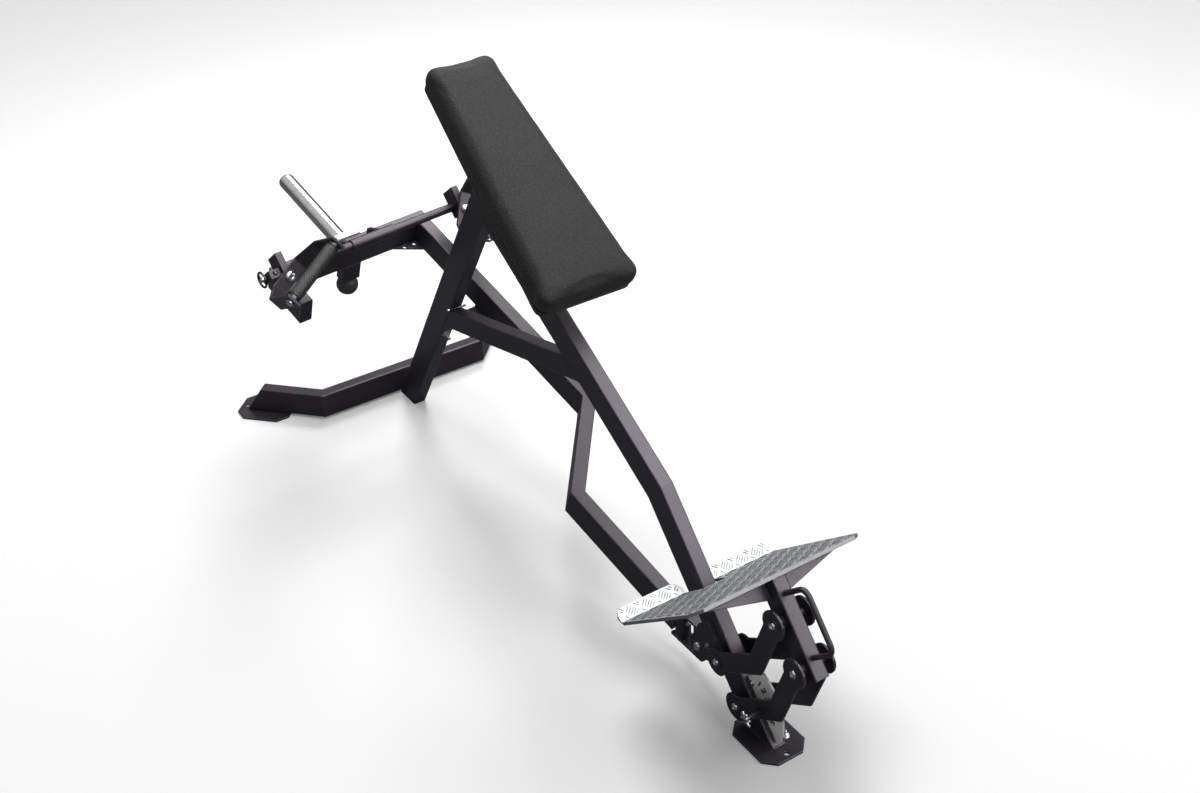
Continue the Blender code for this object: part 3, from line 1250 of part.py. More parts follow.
def build_tread(carrier):
    """The folded foot plate: a main panel and a front flap on each side of the beam."""
    origin = side_point(Vector((PLATFORM_FOLD_X, PLATFORM_FOLD_Z)))
    frame = axes_matrix(origin, side_point(along(PLATFORM_ANGLE, 1.0)), Y_AXIS)
    builder = bmesh.new()
    bend = FLAP_ANGLE + PLATFORM_ANGLE
    flap_direction = Vector((-math.cos(bend), math.sin(bend)))
    flap_normal = Vector((math.sin(bend), math.cos(bend)))
    sign = -1.0 if (frame.to_3x3() @ Vector((0, 1, 0))).z > 0 else 1.0

    def lay(point, y, height):
        """A point on the sheet: below 0 it lies on the flap, above it on the main panel."""
        if point >= 0:
            flat = Vector((point, height))
        else:
            flat = flap_direction * -point + flap_normal * height
        return Vector((flat.x, -sign * flat.y, y))

    notch = PLATFORM_NOTCH_HALF
    depth = PLATFORM_NOTCH_DEPTH
    front = PLATFORM_FRONT_HALF
    rear = PLATFORM_REAR_HALF
    slant = PLATFORM_CHAMFER
    upper = [(0.0, notch), (0.0, front), (PLATFORM_LENGTH - slant, rear), (PLATFORM_LENGTH, rear - slant),
             (PLATFORM_LENGTH, -(rear - slant)), (PLATFORM_LENGTH - slant, -rear), (0.0, -front),
             (0.0, -notch), (depth, -notch + 0.006), (depth, notch - 0.006)]
    main = add_sheet(builder, upper, lay)
    for side in (1, -1):
        flap = [(0.0, side * front)]
        for end, turn in ((front, -1), (notch, 1)):
            quarter = [(k / 5 * math.pi / 2) for k in range(6)]
            if turn > 0:
                quarter.reverse()
            for angle in quarter:
                flap.append((FLAP_CORNER - FLAP_DEPTH - FLAP_CORNER * math.sin(angle),
                             side * (end + turn * FLAP_CORNER * (1 - math.cos(angle)))))
        flap.append((0.0, side * notch))
        add_sheet(builder, flap, lay, main)
    bmesh.ops.remove_doubles(builder, verts=builder.verts, dist=1e-6)
    make_object("foot_platform", builder, frame, "tread", carrier)


def add_sheet(builder, outline, lay, joined=None):
    """A panel of the folded sheet; its side at 0 is left open where a flap joins it."""
    top = [builder.verts.new(lay(u, y, 0.0)) for u, y in outline]
    bottom = [builder.verts.new(lay(u, y, -PLATFORM_THICK) if u != 0.0 else fold_under(lay, y))
              for u, y in outline]
    flat = [[Vector((u, y, 0.0)) for u, y in outline]]
    for triangle in tessellate_polygon(flat):
        builder.faces.new([top[i] for i in triangle])
        builder.faces.new([bottom[i] for i in reversed(triangle)])
    count = len(outline)
    for i in range(count):
        j = (i + 1) % count
        if outline[i][0] == 0.0 and outline[j][0] == 0.0:
            continue
        builder.faces.new((top[i], top[j], bottom[j], bottom[i]))
    return top


def fold_under(lay, y):
    """The under corner of the fold, where both panels' undersides meet."""
    bend = FLAP_ANGLE + PLATFORM_ANGLE
    slip = PLATFORM_THICK * math.tan(bend / 2)
    return lay(0.0, y, -PLATFORM_THICK) + Vector((slip, 0.0, 0.0))


def add_wings(post, post_top):
    """The cross plate under the platform, welded on each side of the post."""
    middle = Vector((post_top.x, post_top.z)) + LOW_NORMAL * (POST_PIVOT_DEPTH - 0.040)
    fold = Vector((PLATFORM_FOLD_X, PLATFORM_FOLD_Z))
    plate_direction = along(PLATFORM_ANGLE, 1.0)
    plate_normal = along(PLATFORM_ANGLE + math.pi / 2, 1.0)
    underside = fold - plate_normal * (PLATFORM_THICK + 2 * GAP)
    lean = math.tan(PLATFORM_ANGLE + BEAM_LOW_ANGLE - math.pi / 2)
    head = meet(middle, LOW_DIRECTION, underside, plate_direction)
    head = head + LOW_DIRECTION * abs(lean) * WING_PLATE_THICK / 2
    for side, name in ((-1, "near"), (1, "far")):
        frame = axes_matrix(side_point(head), (0, side, 0), side_point(LOW_NORMAL))
        down = (frame.to_3x3() @ Vector((0, 1, 0))).dot(side_point(LOW_DIRECTION))
        flip = 1.0 if down > 0 else -1.0
        inner = POST_WIDE / 2 - WELD_DEPTH
        outline = [(inner, 0.0)]
        for number, centre in enumerate((WING_SLOT_NEAR, WING_SLOT_FAR)):
            for u, v in ((-1, 0), (-1, 1), (1, 1), (1, 0)):
                fall = WING_PLATE_FALL * (number + (1 if u > 0 else 0))
                outline.append((centre + u * WING_SLOT_HALF, fall + v * WING_SLOT_DEPTH))
        outline += [(WING_PLATE_HALF, WING_PLATE_FALL), (WING_PLATE_HALF, WING_PLATE_TIP),
                    (inner, WING_PLATE_DROP)]
        shaped = [(u, v * flip) for u, v in outline]
        half = WING_PLATE_THICK / 2
        combine(post, cutter("platform_wing_" + name, prism_mesh(shaped, (), -half, half), frame), "UNION")


def build_post_handle(carrier, post_top):
    """The bent rod on the post's rear face for moving the platform."""
    rear = Vector((post_top.x, post_top.z)) + LOW_NORMAL * (POST_PIVOT_DEPTH + GAP)
    fold = Vector((PLATFORM_FOLD_X, PLATFORM_FOLD_Z))
    head = meet(rear, LOW_DIRECTION, fold, along(PLATFORM_ANGLE, 1.0))
    curve = bpy.data.curves.new("post_handle", "CURVE")
    curve.dimensions = "3D"
    curve.bevel_depth = HANDLE_BAR_RADIUS
    curve.bevel_resolution = 2
    curve.use_fill_caps = True
    frame = axes_matrix(side_point(head), side_point(LOW_DIRECTION), Y_AXIS)
    outward = (frame.to_3x3() @ Vector((0, 1, 0))).dot(side_point(LOW_NORMAL))
    sign = 1.0 if outward > 0 else -1.0
    points = [(HANDLE_TOP_ALONG, 0.0)]
    for start, centre_along in ((math.pi, HANDLE_TOP_ALONG + HANDLE_BEND),
                                (math.pi / 2, HANDLE_BOTTOM_ALONG - HANDLE_BEND)):
        for k in range(5):
            angle = start - math.pi / 2 * k / 4
            points.append((centre_along + HANDLE_BEND * math.cos(angle),
                           HANDLE_STAND - HANDLE_BEND + HANDLE_BEND * math.sin(angle)))
    points.append((HANDLE_BOTTOM_ALONG, 0.0))
    spline = curve.splines.new("POLY")
    spline.points.add(len(points) - 1)
    for target, (u, v) in zip(spline.points, points):
        target.co = (u, sign * v, 0.0, 1.0)
    item = bpy.data.objects.new("post_handle", curve)
    bpy.context.scene.collection.objects.link(item)
    attach(item, frame, carrier)
    curve.materials.append(surface("post_handle", "powder"))


# Index parts of the linkage

def arc(radius, first, last, steps):
    """Points on an arc round the origin from one angle to another."""
    angles = [first + (last - first) * k / steps for k in range(steps + 1)]
    return [(radius * math.cos(angle), radius * math.sin(angle)) for angle in angles]


def build_index(link_pivot):
    """The sector on the beam with its holes, and the drawn-out plunger on the near lower link."""
    frame = link_frame(LINK_PIVOTS["lower_lower"])
    seat = LINK_PIVOT_DEPTH + GAP
    outline = arc(SECTOR_RADIUS, SECTOR_LOW, SECTOR_HIGH, 14)
    corner = outline[-1]
    outline += [(corner[0] - 0.002, seat), (SECTOR_RADIUS * math.cos(SECTOR_LOW) - 0.004, seat)]
    holes = []
    for step in (1, 0, -1, -2, -3):
        u, v = arc(SECTOR_HOLE_RADIUS, PLUNGER_ANGLE + SECTOR_STEP * step, 0.0, 1)[0]
        holes.append(circle(u, v, PLUNGER_RADIUS + SLIDE_CLEARANCE, 12))
    half = SECTOR_THICK / 2
    prism("index_sector", outline, -half, half, frame, "label", holes=holes)

    spot = arc(SECTOR_HOLE_RADIUS, PLUNGER_ANGLE, 0.0, 1)[0]
    pin_frame = axes_matrix(frame @ Vector((spot[0], spot[1], 0.0)), side_point(LOW_DIRECTION), -Y_AXIS)
    bore = PLUNGER_RADIUS + SLIDE_CLEARANCE
    low = LINK_INNER + LINK_THICK + GAP
    high = low + PLUNGER_BARREL_LENGTH
    barrel = [(bore, low), (PLUNGER_BARREL_RADIUS, low), (PLUNGER_BARREL_RADIUS, high), (bore, high)]
    turned("plunger_barrel", barrel, pin_frame, "powder", link_pivot, steps=20, hollow=True)
    handle_at = high + PLUNGER_HANDLE_RADIUS + GAP + PLUNGER_TRAVEL
    tip = half + PLUNGER_STANDOFF
    profile = rounded_bar_profile(PLUNGER_RADIUS, tip, handle_at + PLUNGER_HANDLE_RADIUS / 2, 0.001)
    pin = turned("plunger_pin", profile, pin_frame, "chrome", link_pivot, steps=16)
    bar_frame = pin_frame @ axes_matrix((0, 0, handle_at), (0, 1, 0), (1, 0, 0))
    bar_profile = rounded_bar_profile(PLUNGER_HANDLE_RADIUS, -PLUNGER_HANDLE_HALF, PLUNGER_HANDLE_HALF, 0.001)
    bar = cutter("plunger_bar_body", turned_mesh(bar_profile, 12), bar_frame)
    combine(pin, bar, "UNION")
    return pin_frame, bore


def drill_link(item_name, pin_frame, bore):
    item = bpy.data.objects[item_name]
    hole = cylinder_cutter("plunger_hole_cutter", bore, 0.0, 0.06, pin_frame, 16)
    combine(item, hole, "DIFFERENCE")


# Rest for the lever

def build_rest():
    """A shelf on the leg's far side that the lever arm lies on, with a rubber pad."""
    under = -TUBE_TALL / 2 - GAP
    half = TUBE_WIDE / 2
    low = REST_FORWARD - REST_LENGTH / 2
    high = REST_FORWARD + REST_LENGTH / 2
    near_side = ARM_RIGHT - half
    far_side = ARM_RIGHT + half
    pad = rounded_polygon([plan(low, near_side), plan(high, near_side), plan(high, far_side),
                           plan(low, far_side)], 0.005, 2)
    prism("rest_pad", pad, under - REST_PAD_THICK, under, lever_plan(), "rubber")
    shelf_top = under - REST_PAD_THICK - GAP
    leg_side = TUBE_WIDE / 2 + GAP
    corners = []
    frame = lever_plan()
    inverse = frame.inverted()
    for forward in (low, high):
        edge = lever_place(forward, ARM_RIGHT, shelf_top)
        reach = (edge.y - leg_side) / LEVER.to_3x3().col[1].y
        inner = inverse @ lever_place(forward, ARM_RIGHT - reach, shelf_top)
        outer = inverse @ lever_place(forward, ARM_RIGHT + half + 0.006, shelf_top)
        corners.append(((inner.x, inner.y), (outer.x, outer.y)))
    outline = [corners[0][0], corners[0][1], corners[1][1], corners[1][0]]
    prism("rest_shelf", outline, shelf_top - REST_SHELF_THICK, shelf_top, frame, "powder")


def main():
    clear_scene()
    build_rear_foot()
    build_front_base()
    build_leg()
    build_beam()
    build_brace()
    build_pad()
    build_pad_carriers()
    build_rest()

    lift_pivot = pivot("lift_axis", Matrix.Translation((LIFT_X, 0.0, LIFT_Z)))
    build_swivel(lift_pivot)
    swing_pivot = pivot("swing_axis", Matrix.Translation((SWIVEL_X, 0.0, SWIVEL_Z)), lift_pivot)
    build_lever(swing_pivot)
    build_head_fittings(swing_pivot)
    build_sleeve(swing_pivot)
    tilt_pivot = pivot("tilt_axis", lever_frame((ROD_FORWARD, 0, ROD_UP), FORWARD, RIGHT), swing_pivot)
    build_carriage(tilt_pivot)
    build_grip(-1, "left", LEFT_GRIP_TURN, tilt_pivot)
    build_grip(1, "right", RIGHT_GRIP_TURN, tilt_pivot)

    link_pivots = build_links()
    carrier = pivot("platform_axis", Matrix.Translation(LINK_PIVOTS["upper_upper"]), link_pivots["upper"])
    build_platform(carrier)
    pin_frame, bore = build_index(link_pivots["lower"])
    drill_link("link_lower_near", pin_frame, bore)
    bpy.context.view_layer.update()


main()
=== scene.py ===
import json
import math

import bmesh
import bpy
from mathutils import Matrix, Vector
from mathutils.bvhtree import BVHTree


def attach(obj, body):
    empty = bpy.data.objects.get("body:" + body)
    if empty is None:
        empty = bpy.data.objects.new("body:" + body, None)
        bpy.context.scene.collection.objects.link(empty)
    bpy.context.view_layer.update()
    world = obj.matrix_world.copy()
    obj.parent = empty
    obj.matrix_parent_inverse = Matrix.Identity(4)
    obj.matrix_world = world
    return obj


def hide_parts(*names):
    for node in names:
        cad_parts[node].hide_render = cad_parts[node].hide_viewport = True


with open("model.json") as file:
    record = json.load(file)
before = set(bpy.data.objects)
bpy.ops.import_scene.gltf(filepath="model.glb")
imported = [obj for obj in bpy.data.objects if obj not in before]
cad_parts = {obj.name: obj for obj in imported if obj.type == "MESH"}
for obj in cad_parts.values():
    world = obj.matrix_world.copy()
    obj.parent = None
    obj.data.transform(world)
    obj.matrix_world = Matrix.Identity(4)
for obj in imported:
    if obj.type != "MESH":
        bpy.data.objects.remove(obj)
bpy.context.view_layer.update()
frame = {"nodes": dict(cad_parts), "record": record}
nodes = frame["nodes"]
scene = bpy.context.scene
print("frame loaded:", len(nodes), "pieces")


# small helpers for node trees

def addNode(tree, kind, inputs=None, **settings):
    made = tree.nodes.new(kind)
    for key, value in settings.items():
        setattr(made, key, value)
    for key, value in (inputs or {}).items():
        if isinstance(value, bpy.types.NodeSocket):
            tree.links.new(value, made.inputs[key])
        else:
            made.inputs[key].default_value = value
    return made


def maths(tree, operation, a, b=0.0, clamp=False):
    made = addNode(tree, "ShaderNodeMath", operation=operation, use_clamp=clamp)
    for index, value in enumerate((a, b)):
        if isinstance(value, bpy.types.NodeSocket):
            tree.links.new(value, made.inputs[index])
        else:
            made.inputs[index].default_value = value
    return made.outputs[0]


def remap(tree, value, fromLow, fromHigh, toLow=0.0, toHigh=1.0):
    made = addNode(tree, "ShaderNodeMapRange", {
        "Value": value, "From Min": fromLow, "From Max": fromHigh, "To Min": toLow, "To Max": toHigh})
    return made.outputs["Result"]


def mixColour(tree, share, first, second):
    made = addNode(tree, "ShaderNodeMix", data_type="RGBA")
    for socket, value in ((made.inputs[0], share), (made.inputs[6], first), (made.inputs[7], second)):
        if isinstance(value, bpy.types.NodeSocket):
            tree.links.new(value, socket)
        else:
            socket.default_value = value
    return made.outputs[2]


def noiseAt(tree, spot, scale, detail=3.0, roughness=0.55):
    return addNode(tree, "ShaderNodeTexNoise", {
        "Vector": spot, "Scale": scale, "Detail": detail, "Roughness": roughness}).outputs[0]


def newGroup(name, inputs, outputs):
    group = bpy.data.node_groups.new(name, "ShaderNodeTree")
    for label, value, low, high in inputs:
        socket = group.interface.new_socket(name=label, in_out="INPUT", socket_type="NodeSocketFloat")
        socket.default_value, socket.min_value, socket.max_value = value, low, high
    for label, kind in outputs:
        group.interface.new_socket(name=label, in_out="OUTPUT", socket_type=kind)
    source = group.nodes.new("NodeGroupInput")
    target = group.nodes.new("NodeGroupOutput")
    return group, source.outputs, target.inputs


def place(tree, group, **values):
    made = addNode(tree, "ShaderNodeGroup", node_tree=group)
    for label, value in values.items():
        made.inputs[label.replace("_", " ")].default_value = value
    return made.outputs


# effects shared by several materials

# edge mask from the bevelled normal, broken up by noise: the materials mix their edges lighter with it, for worn edges
# and, on the powder coat and plated metal, for a painted highlight along the edges
edgeWearAndHighlight, given, result = newGroup(
    "edgeWearAndHighlight", [("Radius", 0.0015, 0.0, 0.02), ("Low", 0.02, 0.0, 1.0), ("High", 0.22, 0.0, 1.0)],
    [("Mask", "NodeSocketFloat"), ("Normal", "NodeSocketVector")])
rounded = addNode(edgeWearAndHighlight, "ShaderNodeBevel", samples=6)
edgeWearAndHighlight.links.new(given["Radius"], rounded.inputs["Radius"])
geometry = addNode(edgeWearAndHighlight, "ShaderNodeNewGeometry")
facing = addNode(edgeWearAndHighlight, "ShaderNodeVectorMath", operation="DOT_PRODUCT")
edgeWearAndHighlight.links.new(rounded.outputs[0], facing.inputs[0])
edgeWearAndHighlight.links.new(geometry.outputs["Normal"], facing.inputs[1])
edge = addNode(edgeWearAndHighlight, "ShaderNodeMapRange")
edgeWearAndHighlight.links.new(maths(edgeWearAndHighlight, "SUBTRACT", 1.0, facing.outputs["Value"]), edge.inputs["Value"])
edgeWearAndHighlight.links.new(given["Low"], edge.inputs["From Min"])
edgeWearAndHighlight.links.new(given["High"], edge.inputs["From Max"])
spot = addNode(edgeWearAndHighlight, "ShaderNodeTexCoord").outputs["Object"]
broken = remap(edgeWearAndHighlight, noiseAt(edgeWearAndHighlight, spot, 90.0), 0.3, 0.62)
edgeWearAndHighlight.links.new(maths(edgeWearAndHighlight, "MULTIPLY", edge.outputs["Result"], broken, True), result["Mask"])
edgeWearAndHighlight.links.new(rounded.outputs[0], result["Normal"])

grain, given, result = newGroup(
    "grain", [("Scale", 400.0, 1.0, 5000.0), ("Large Scale", 6.0, 0.1, 500.0), ("Stretch", 1.0, 0.01, 20.0)],
    [("Height", "NodeSocketFloat"), ("Tone", "NodeSocketFloat"), ("Speck", "NodeSocketFloat")])
spot = addNode(grain, "ShaderNodeTexCoord").outputs["Object"]
longer = addNode(grain, "ShaderNodeCombineXYZ", {"X": 1.0, "Y": 1.0})
grain.links.new(given["Stretch"], longer.inputs["Z"])
stretched = addNode(grain, "ShaderNodeVectorMath", operation="MULTIPLY")
grain.links.new(spot, stretched.inputs[0])
grain.links.new(longer.outputs[0], stretched.inputs[1])
fine = addNode(grain, "ShaderNodeTexNoise", {"Vector": stretched.outputs[0], "Detail": 2.0, "Roughness": 0.5})
grain.links.new(given["Scale"], fine.inputs["Scale"])
wide = addNode(grain, "ShaderNodeTexNoise", {"Vector": spot, "Detail": 4.0, "Roughness": 0.6})
grain.links.new(given["Large Scale"], wide.inputs["Scale"])
grain.links.new(fine.outputs[0], result["Height"])
grain.links.new(remap(grain, wide.outputs[0], 0.3, 0.7), result["Tone"])
grain.links.new(remap(grain, fine.outputs[0], 0.58, 0.72), result["Speck"])

dust, given, result = newGroup(
    "dust", [("Amount", 0.2, 0.0, 1.0)], [("Mask", "NodeSocketFloat")])
geometry = addNode(dust, "ShaderNodeNewGeometry")
upright = addNode(dust, "ShaderNodeSeparateXYZ", {0: geometry.outputs["Normal"]}).outputs["Z"]
spot = addNode(dust, "ShaderNodeTexCoord").outputs["Object"]
patch = remap(dust, noiseAt(dust, spot, 14.0, 5.0, 0.65), 0.35, 0.75)
lying = maths(dust, "MULTIPLY", remap(dust, upright, 0.2, 0.95), patch)
dust.links.new(maths(dust, "MULTIPLY", lying, given["Amount"], True), result["Mask"])


# materials

def newMaterial(name):
    made = bpy.data.materials.new(name)
    made.use_nodes = True
    tree = made.node_tree
    tree.nodes.clear()
    out = addNode(tree, "ShaderNodeOutputMaterial")
    shader = addNode(tree, "ShaderNodeBsdfPrincipled")
    tree.links.new(shader.outputs[0], out.inputs["Surface"])
    return made, tree, shader


def bumpInto(tree, shader, height, strength, distance, normal=None):
    bump = addNode(tree, "ShaderNodeBump", {"Height": height, "Strength": strength, "Distance": distance})
    if normal is not None:
        tree.links.new(normal, bump.inputs["Normal"])
    tree.links.new(bump.outputs[0], shader.inputs["Normal"])


powderLook = {
    "colour": (0.0100, 0.0078, 0.0138, 1), "light": (0.0160, 0.0138, 0.0195, 1), "bareAndHighlight": (0.26, 0.25, 0.27, 1),
    "dustColour": (0.10, 0.098, 0.104, 1), "speck": (0.085, 0.080, 0.088, 1), "grainScale": 430.0, "bump": 0.30,
    "rough": (0.36, 0.45), "speckShare": 0.30, "wearAndHighlightShare": 0.62, "dustAmount": 0.06, "specular": 0.55,
    "specularTint": (1.0, 0.93, 1.0, 1)}


def powderCoat(name, look, wearAndHighlight=1.0):
    made, tree, shader = newMaterial(name)
    skin = place(tree, grain, Scale=look["grainScale"], Large_Scale=5.0)
    edgeMarks = place(tree, edgeWearAndHighlight, Radius=0.0030, Low=0.02, High=0.22)
    lying = place(tree, dust, Amount=look["dustAmount"])
    base = mixColour(tree, skin["Tone"], look["colour"], look["light"])
    base = mixColour(tree, maths(tree, "MULTIPLY", skin["Speck"], look["speckShare"]), base, look["speck"])
    base = mixColour(tree, lying["Mask"], base, look["dustColour"])
    # edges mixed towards a lighter grey: partly bare worn coat, partly a painted highlight along the edges
    base = mixColour(tree, maths(tree, "MULTIPLY", edgeMarks["Mask"], look["wearAndHighlightShare"] * wearAndHighlight), base, look["bareAndHighlight"])
    tree.links.new(base, shader.inputs["Base Color"])
    low, high = look["rough"]
    tree.links.new(remap(tree, skin["Tone"], 0.0, 1.0, low, high), shader.inputs["Roughness"])
    shader.inputs["Specular IOR Level"].default_value = look["specular"]
    shader.inputs["Specular Tint"].default_value = look["specularTint"]
    bumpInto(tree, shader, skin["Height"], look["bump"], 0.0006, edgeMarks["Normal"])
    return made


powder = powderCoat("powderCoat", powderLook)
weldCoat = powderCoat("weldedBead", dict(powderLook, grainScale=900.0, bump=0.2), wearAndHighlight=0.3)

metalLook = {
    "chrome": {"colour": (0.80, 0.80, 0.82, 1), "stain": (0.46, 0.45, 0.46, 1), "rough": (0.10, 0.24),
               "scale": 500.0, "bump": 0.03},
    "peg": {"colour": (0.78, 0.775, 0.77, 1), "stain": (0.68, 0.675, 0.67, 1), "rough": (0.13, 0.20),
            "scale": 320.0, "bump": 0.015},
    "darkSteel": {"colour": (0.075, 0.072, 0.078, 1), "stain": (0.045, 0.043, 0.046, 1), "rough": (0.24, 0.38),
                  "scale": 300.0, "bump": 0.05},
    "zinc": {"colour": (0.56, 0.56, 0.58, 1), "stain": (0.30, 0.29, 0.29, 1), "rough": (0.26, 0.44),
             "scale": 260.0, "bump": 0.10},
}


def platedMetal(name, look):
    made, tree, shader = newMaterial(name)
    skin = place(tree, grain, Scale=look["scale"], Large_Scale=40.0)
    edgeMarks = place(tree, edgeWearAndHighlight, Radius=0.0009, Low=0.02, High=0.30)
    base = mixColour(tree, skin["Tone"], look["colour"], look["stain"])
    # edges mixed towards near white: partly worn metal, partly a painted highlight along the edges
    base = mixColour(tree, maths(tree, "MULTIPLY", edgeMarks["Mask"], 0.5), base, (0.92, 0.92, 0.93, 1))
    tree.links.new(base, shader.inputs["Base Color"])
    shader.inputs["Metallic"].default_value = 1.0
    low, high = look["rough"]
    tree.links.new(remap(tree, skin["Tone"], 0.0, 1.0, low, high), shader.inputs["Roughness"])
    bumpInto(tree, shader, skin["Height"], look["bump"], 0.0004, edgeMarks["Normal"])
    return made


chrome = platedMetal("polishedPlate", metalLook["chrome"])
pegSteel = platedMetal("pegSteel", metalLook["peg"])
zinc = platedMetal("zincPlate", metalLook["zinc"])
darkSteel = platedMetal("darkSteel", metalLook["darkSteel"])

treadLook = {"colour": (0.56, 0.575, 0.59, 1), "dark": (0.46, 0.475, 0.49, 1), "dirtAndCutShade": (0.14, 0.145, 0.15, 1),
             "edgeMarks": (0.80, 0.80, 0.81, 1), "up": (-0.6494, 0.0, 0.7604), "cutShadeShare": 0.9, "rough": (0.40, 0.55),
             "dirtShare": 0.45, "metallic": 0.60, "bump": 0.22}


def treadMetal(name, look):
    made, tree, shader = newMaterial(name)
    skin = place(tree, grain, Scale=330.0, Large_Scale=60.0)
    fineSkin = place(tree, grain, Scale=1100.0, Large_Scale=160.0)
    edgeMarks = place(tree, edgeWearAndHighlight, Radius=0.0012, Low=0.02, High=0.28)
    base = mixColour(tree, skin["Tone"], look["colour"], look["dark"])
    base = mixColour(tree, maths(tree, "MULTIPLY", skin["Speck"], look["dirtShare"]), base, look["dirtAndCutShade"])
    base = mixColour(tree, maths(tree, "MULTIPLY", edgeMarks["Mask"], 0.5), base, look["edgeMarks"])
    # faces turned away from the plate's up direction, its cut ends, are painted dark: painted shade; the same dark
    # colour also gives the dirt specks
    facing = addNode(tree, "ShaderNodeVectorMath", {
        0: addNode(tree, "ShaderNodeTexCoord").outputs["Normal"], 1: look["up"]}, operation="DOT_PRODUCT")
    cutShade = remap(tree, facing.outputs["Value"], 0.30, 0.10)
    base = mixColour(tree, maths(tree, "MULTIPLY", cutShade, look["cutShadeShare"]), base, look["dirtAndCutShade"])
    tree.links.new(base, shader.inputs["Base Color"])
    shader.inputs["Metallic"].default_value = look["metallic"]
    low, high = look["rough"]
    tree.links.new(remap(tree, fineSkin["Tone"], 0.0, 1.0, low, high), shader.inputs["Roughness"])
    both = maths(tree, "ADD", skin["Height"], maths(tree, "MULTIPLY", fineSkin["Height"], 0.5))
    bumpInto(tree, shader, both, look["bump"], 0.0005, edgeMarks["Normal"])
    return made


tread = treadMetal("treadPlate", treadLook)
# the raised bars get a darker colour than the plate they are part of: painted shade for their shaded sides
treadRidgePaintedShade = treadMetal("treadRidgePaintedShade", dict(treadLook, colour=(0.26, 0.27, 0.28, 1), dark=(0.18, 0.19, 0.20, 1),
                                           rough=(0.24, 0.36), cutShadeShare=0.0))

vinylLook = {"colour": (0.008, 0.008, 0.0084, 1), "light": (0.022, 0.022, 0.0228, 1), "pebble": 230.0,
             "crease": 75.0, "bump": 0.70, "rough": (0.52, 0.68), "specular": 0.20, "sheen": 0.05}


def pebbledVinyl(name, look):
    made, tree, shader = newMaterial(name)
    spot = addNode(tree, "ShaderNodeTexCoord").outputs["Object"]
    wobble = noiseAt(tree, spot, 60.0, 2.0)
    moved = addNode(tree, "ShaderNodeVectorMath", {0: spot}, operation="ADD")
    shift = addNode(tree, "ShaderNodeVectorMath", {1: (0.004, 0.004, 0.004)}, operation="MULTIPLY")
    tree.links.new(wobble, shift.inputs[0])
    tree.links.new(shift.outputs[0], moved.inputs[1])
    pebbles = addNode(tree, "ShaderNodeTexVoronoi", {
        "Vector": moved.outputs[0], "Scale": look["pebble"], "Smoothness": 0.6}, feature="SMOOTH_F1")
    cracks = addNode(tree, "ShaderNodeTexVoronoi", {
        "Vector": moved.outputs[0], "Scale": look["crease"]}, feature="DISTANCE_TO_EDGE")
    skin = place(tree, grain, Scale=900.0, Large_Scale=9.0)
    domes = maths(tree, "SUBTRACT", 1.0, pebbles.outputs["Distance"])
    creases = remap(tree, cracks.outputs["Distance"], 0.0, 0.12)
    height = maths(tree, "ADD", domes, maths(tree, "MULTIPLY", creases, 0.35))
    height = maths(tree, "ADD", height, maths(tree, "MULTIPLY", skin["Height"], 0.25))
    # colour follows the pebble height: pebble tops lighter and the creases between them darker, painted shade in the
    # creases
    base = mixColour(tree, remap(tree, height, 0.9, 1.5), look["colour"], look["light"])
    base = mixColour(tree, maths(tree, "MULTIPLY", skin["Tone"], 0.35), base, look["light"])
    tree.links.new(base, shader.inputs["Base Color"])
    low, high = look["rough"]
    tree.links.new(remap(tree, domes, 0.4, 1.0, high, low), shader.inputs["Roughness"])
    shader.inputs["Specular IOR Level"].default_value = look["specular"]
    shader.inputs["Sheen Weight"].default_value = look["sheen"]
    bumpInto(tree, shader, height, look["bump"], 0.0012)
    return made


vinyl = pebbledVinyl("pebbledVinyl", vinylLook)
boardCover = pebbledVinyl("boardCover", dict(vinylLook, colour=(0.012, 0.012, 0.013, 1), pebble=420.0, bump=0.25))

rubberLook = {"colour": (0.016, 0.016, 0.016, 1), "light": (0.040, 0.040, 0.039, 1), "rough": (0.55, 0.78)}


def mouldedRubber(name, look, scale=500.0, bump=0.25, dustAmount=0.2):
    made, tree, shader = newMaterial(name)
    skin = place(tree, grain, Scale=scale, Large_Scale=30.0)
    lying = place(tree, dust, Amount=dustAmount)
    edgeMarks = place(tree, edgeWearAndHighlight, Radius=0.0010, Low=0.03, High=0.35)
    base = mixColour(tree, skin["Tone"], look["colour"], look["light"])
    base = mixColour(tree, lying["Mask"], base, (0.12, 0.12, 0.118, 1))
    base = mixColour(tree, maths(tree, "MULTIPLY", edgeMarks["Mask"], 0.5), base, (0.13, 0.13, 0.128, 1))
    tree.links.new(base, shader.inputs["Base Color"])
    low, high = look["rough"]
    tree.links.new(remap(tree, skin["Speck"], 0.0, 1.0, low, high), shader.inputs["Roughness"])
    bumpInto(tree, shader, skin["Height"], bump, 0.0006, edgeMarks["Normal"])
    return made


rubber = mouldedRubber("mouldedRubber", rubberLook)
gripRubber = mouldedRubber("knurledRubber", dict(rubberLook, colour=(0.011, 0.0115, 0.0108, 1),
                                                  light=(0.024, 0.025, 0.023, 1)), 700.0, 0.2, 0.12)


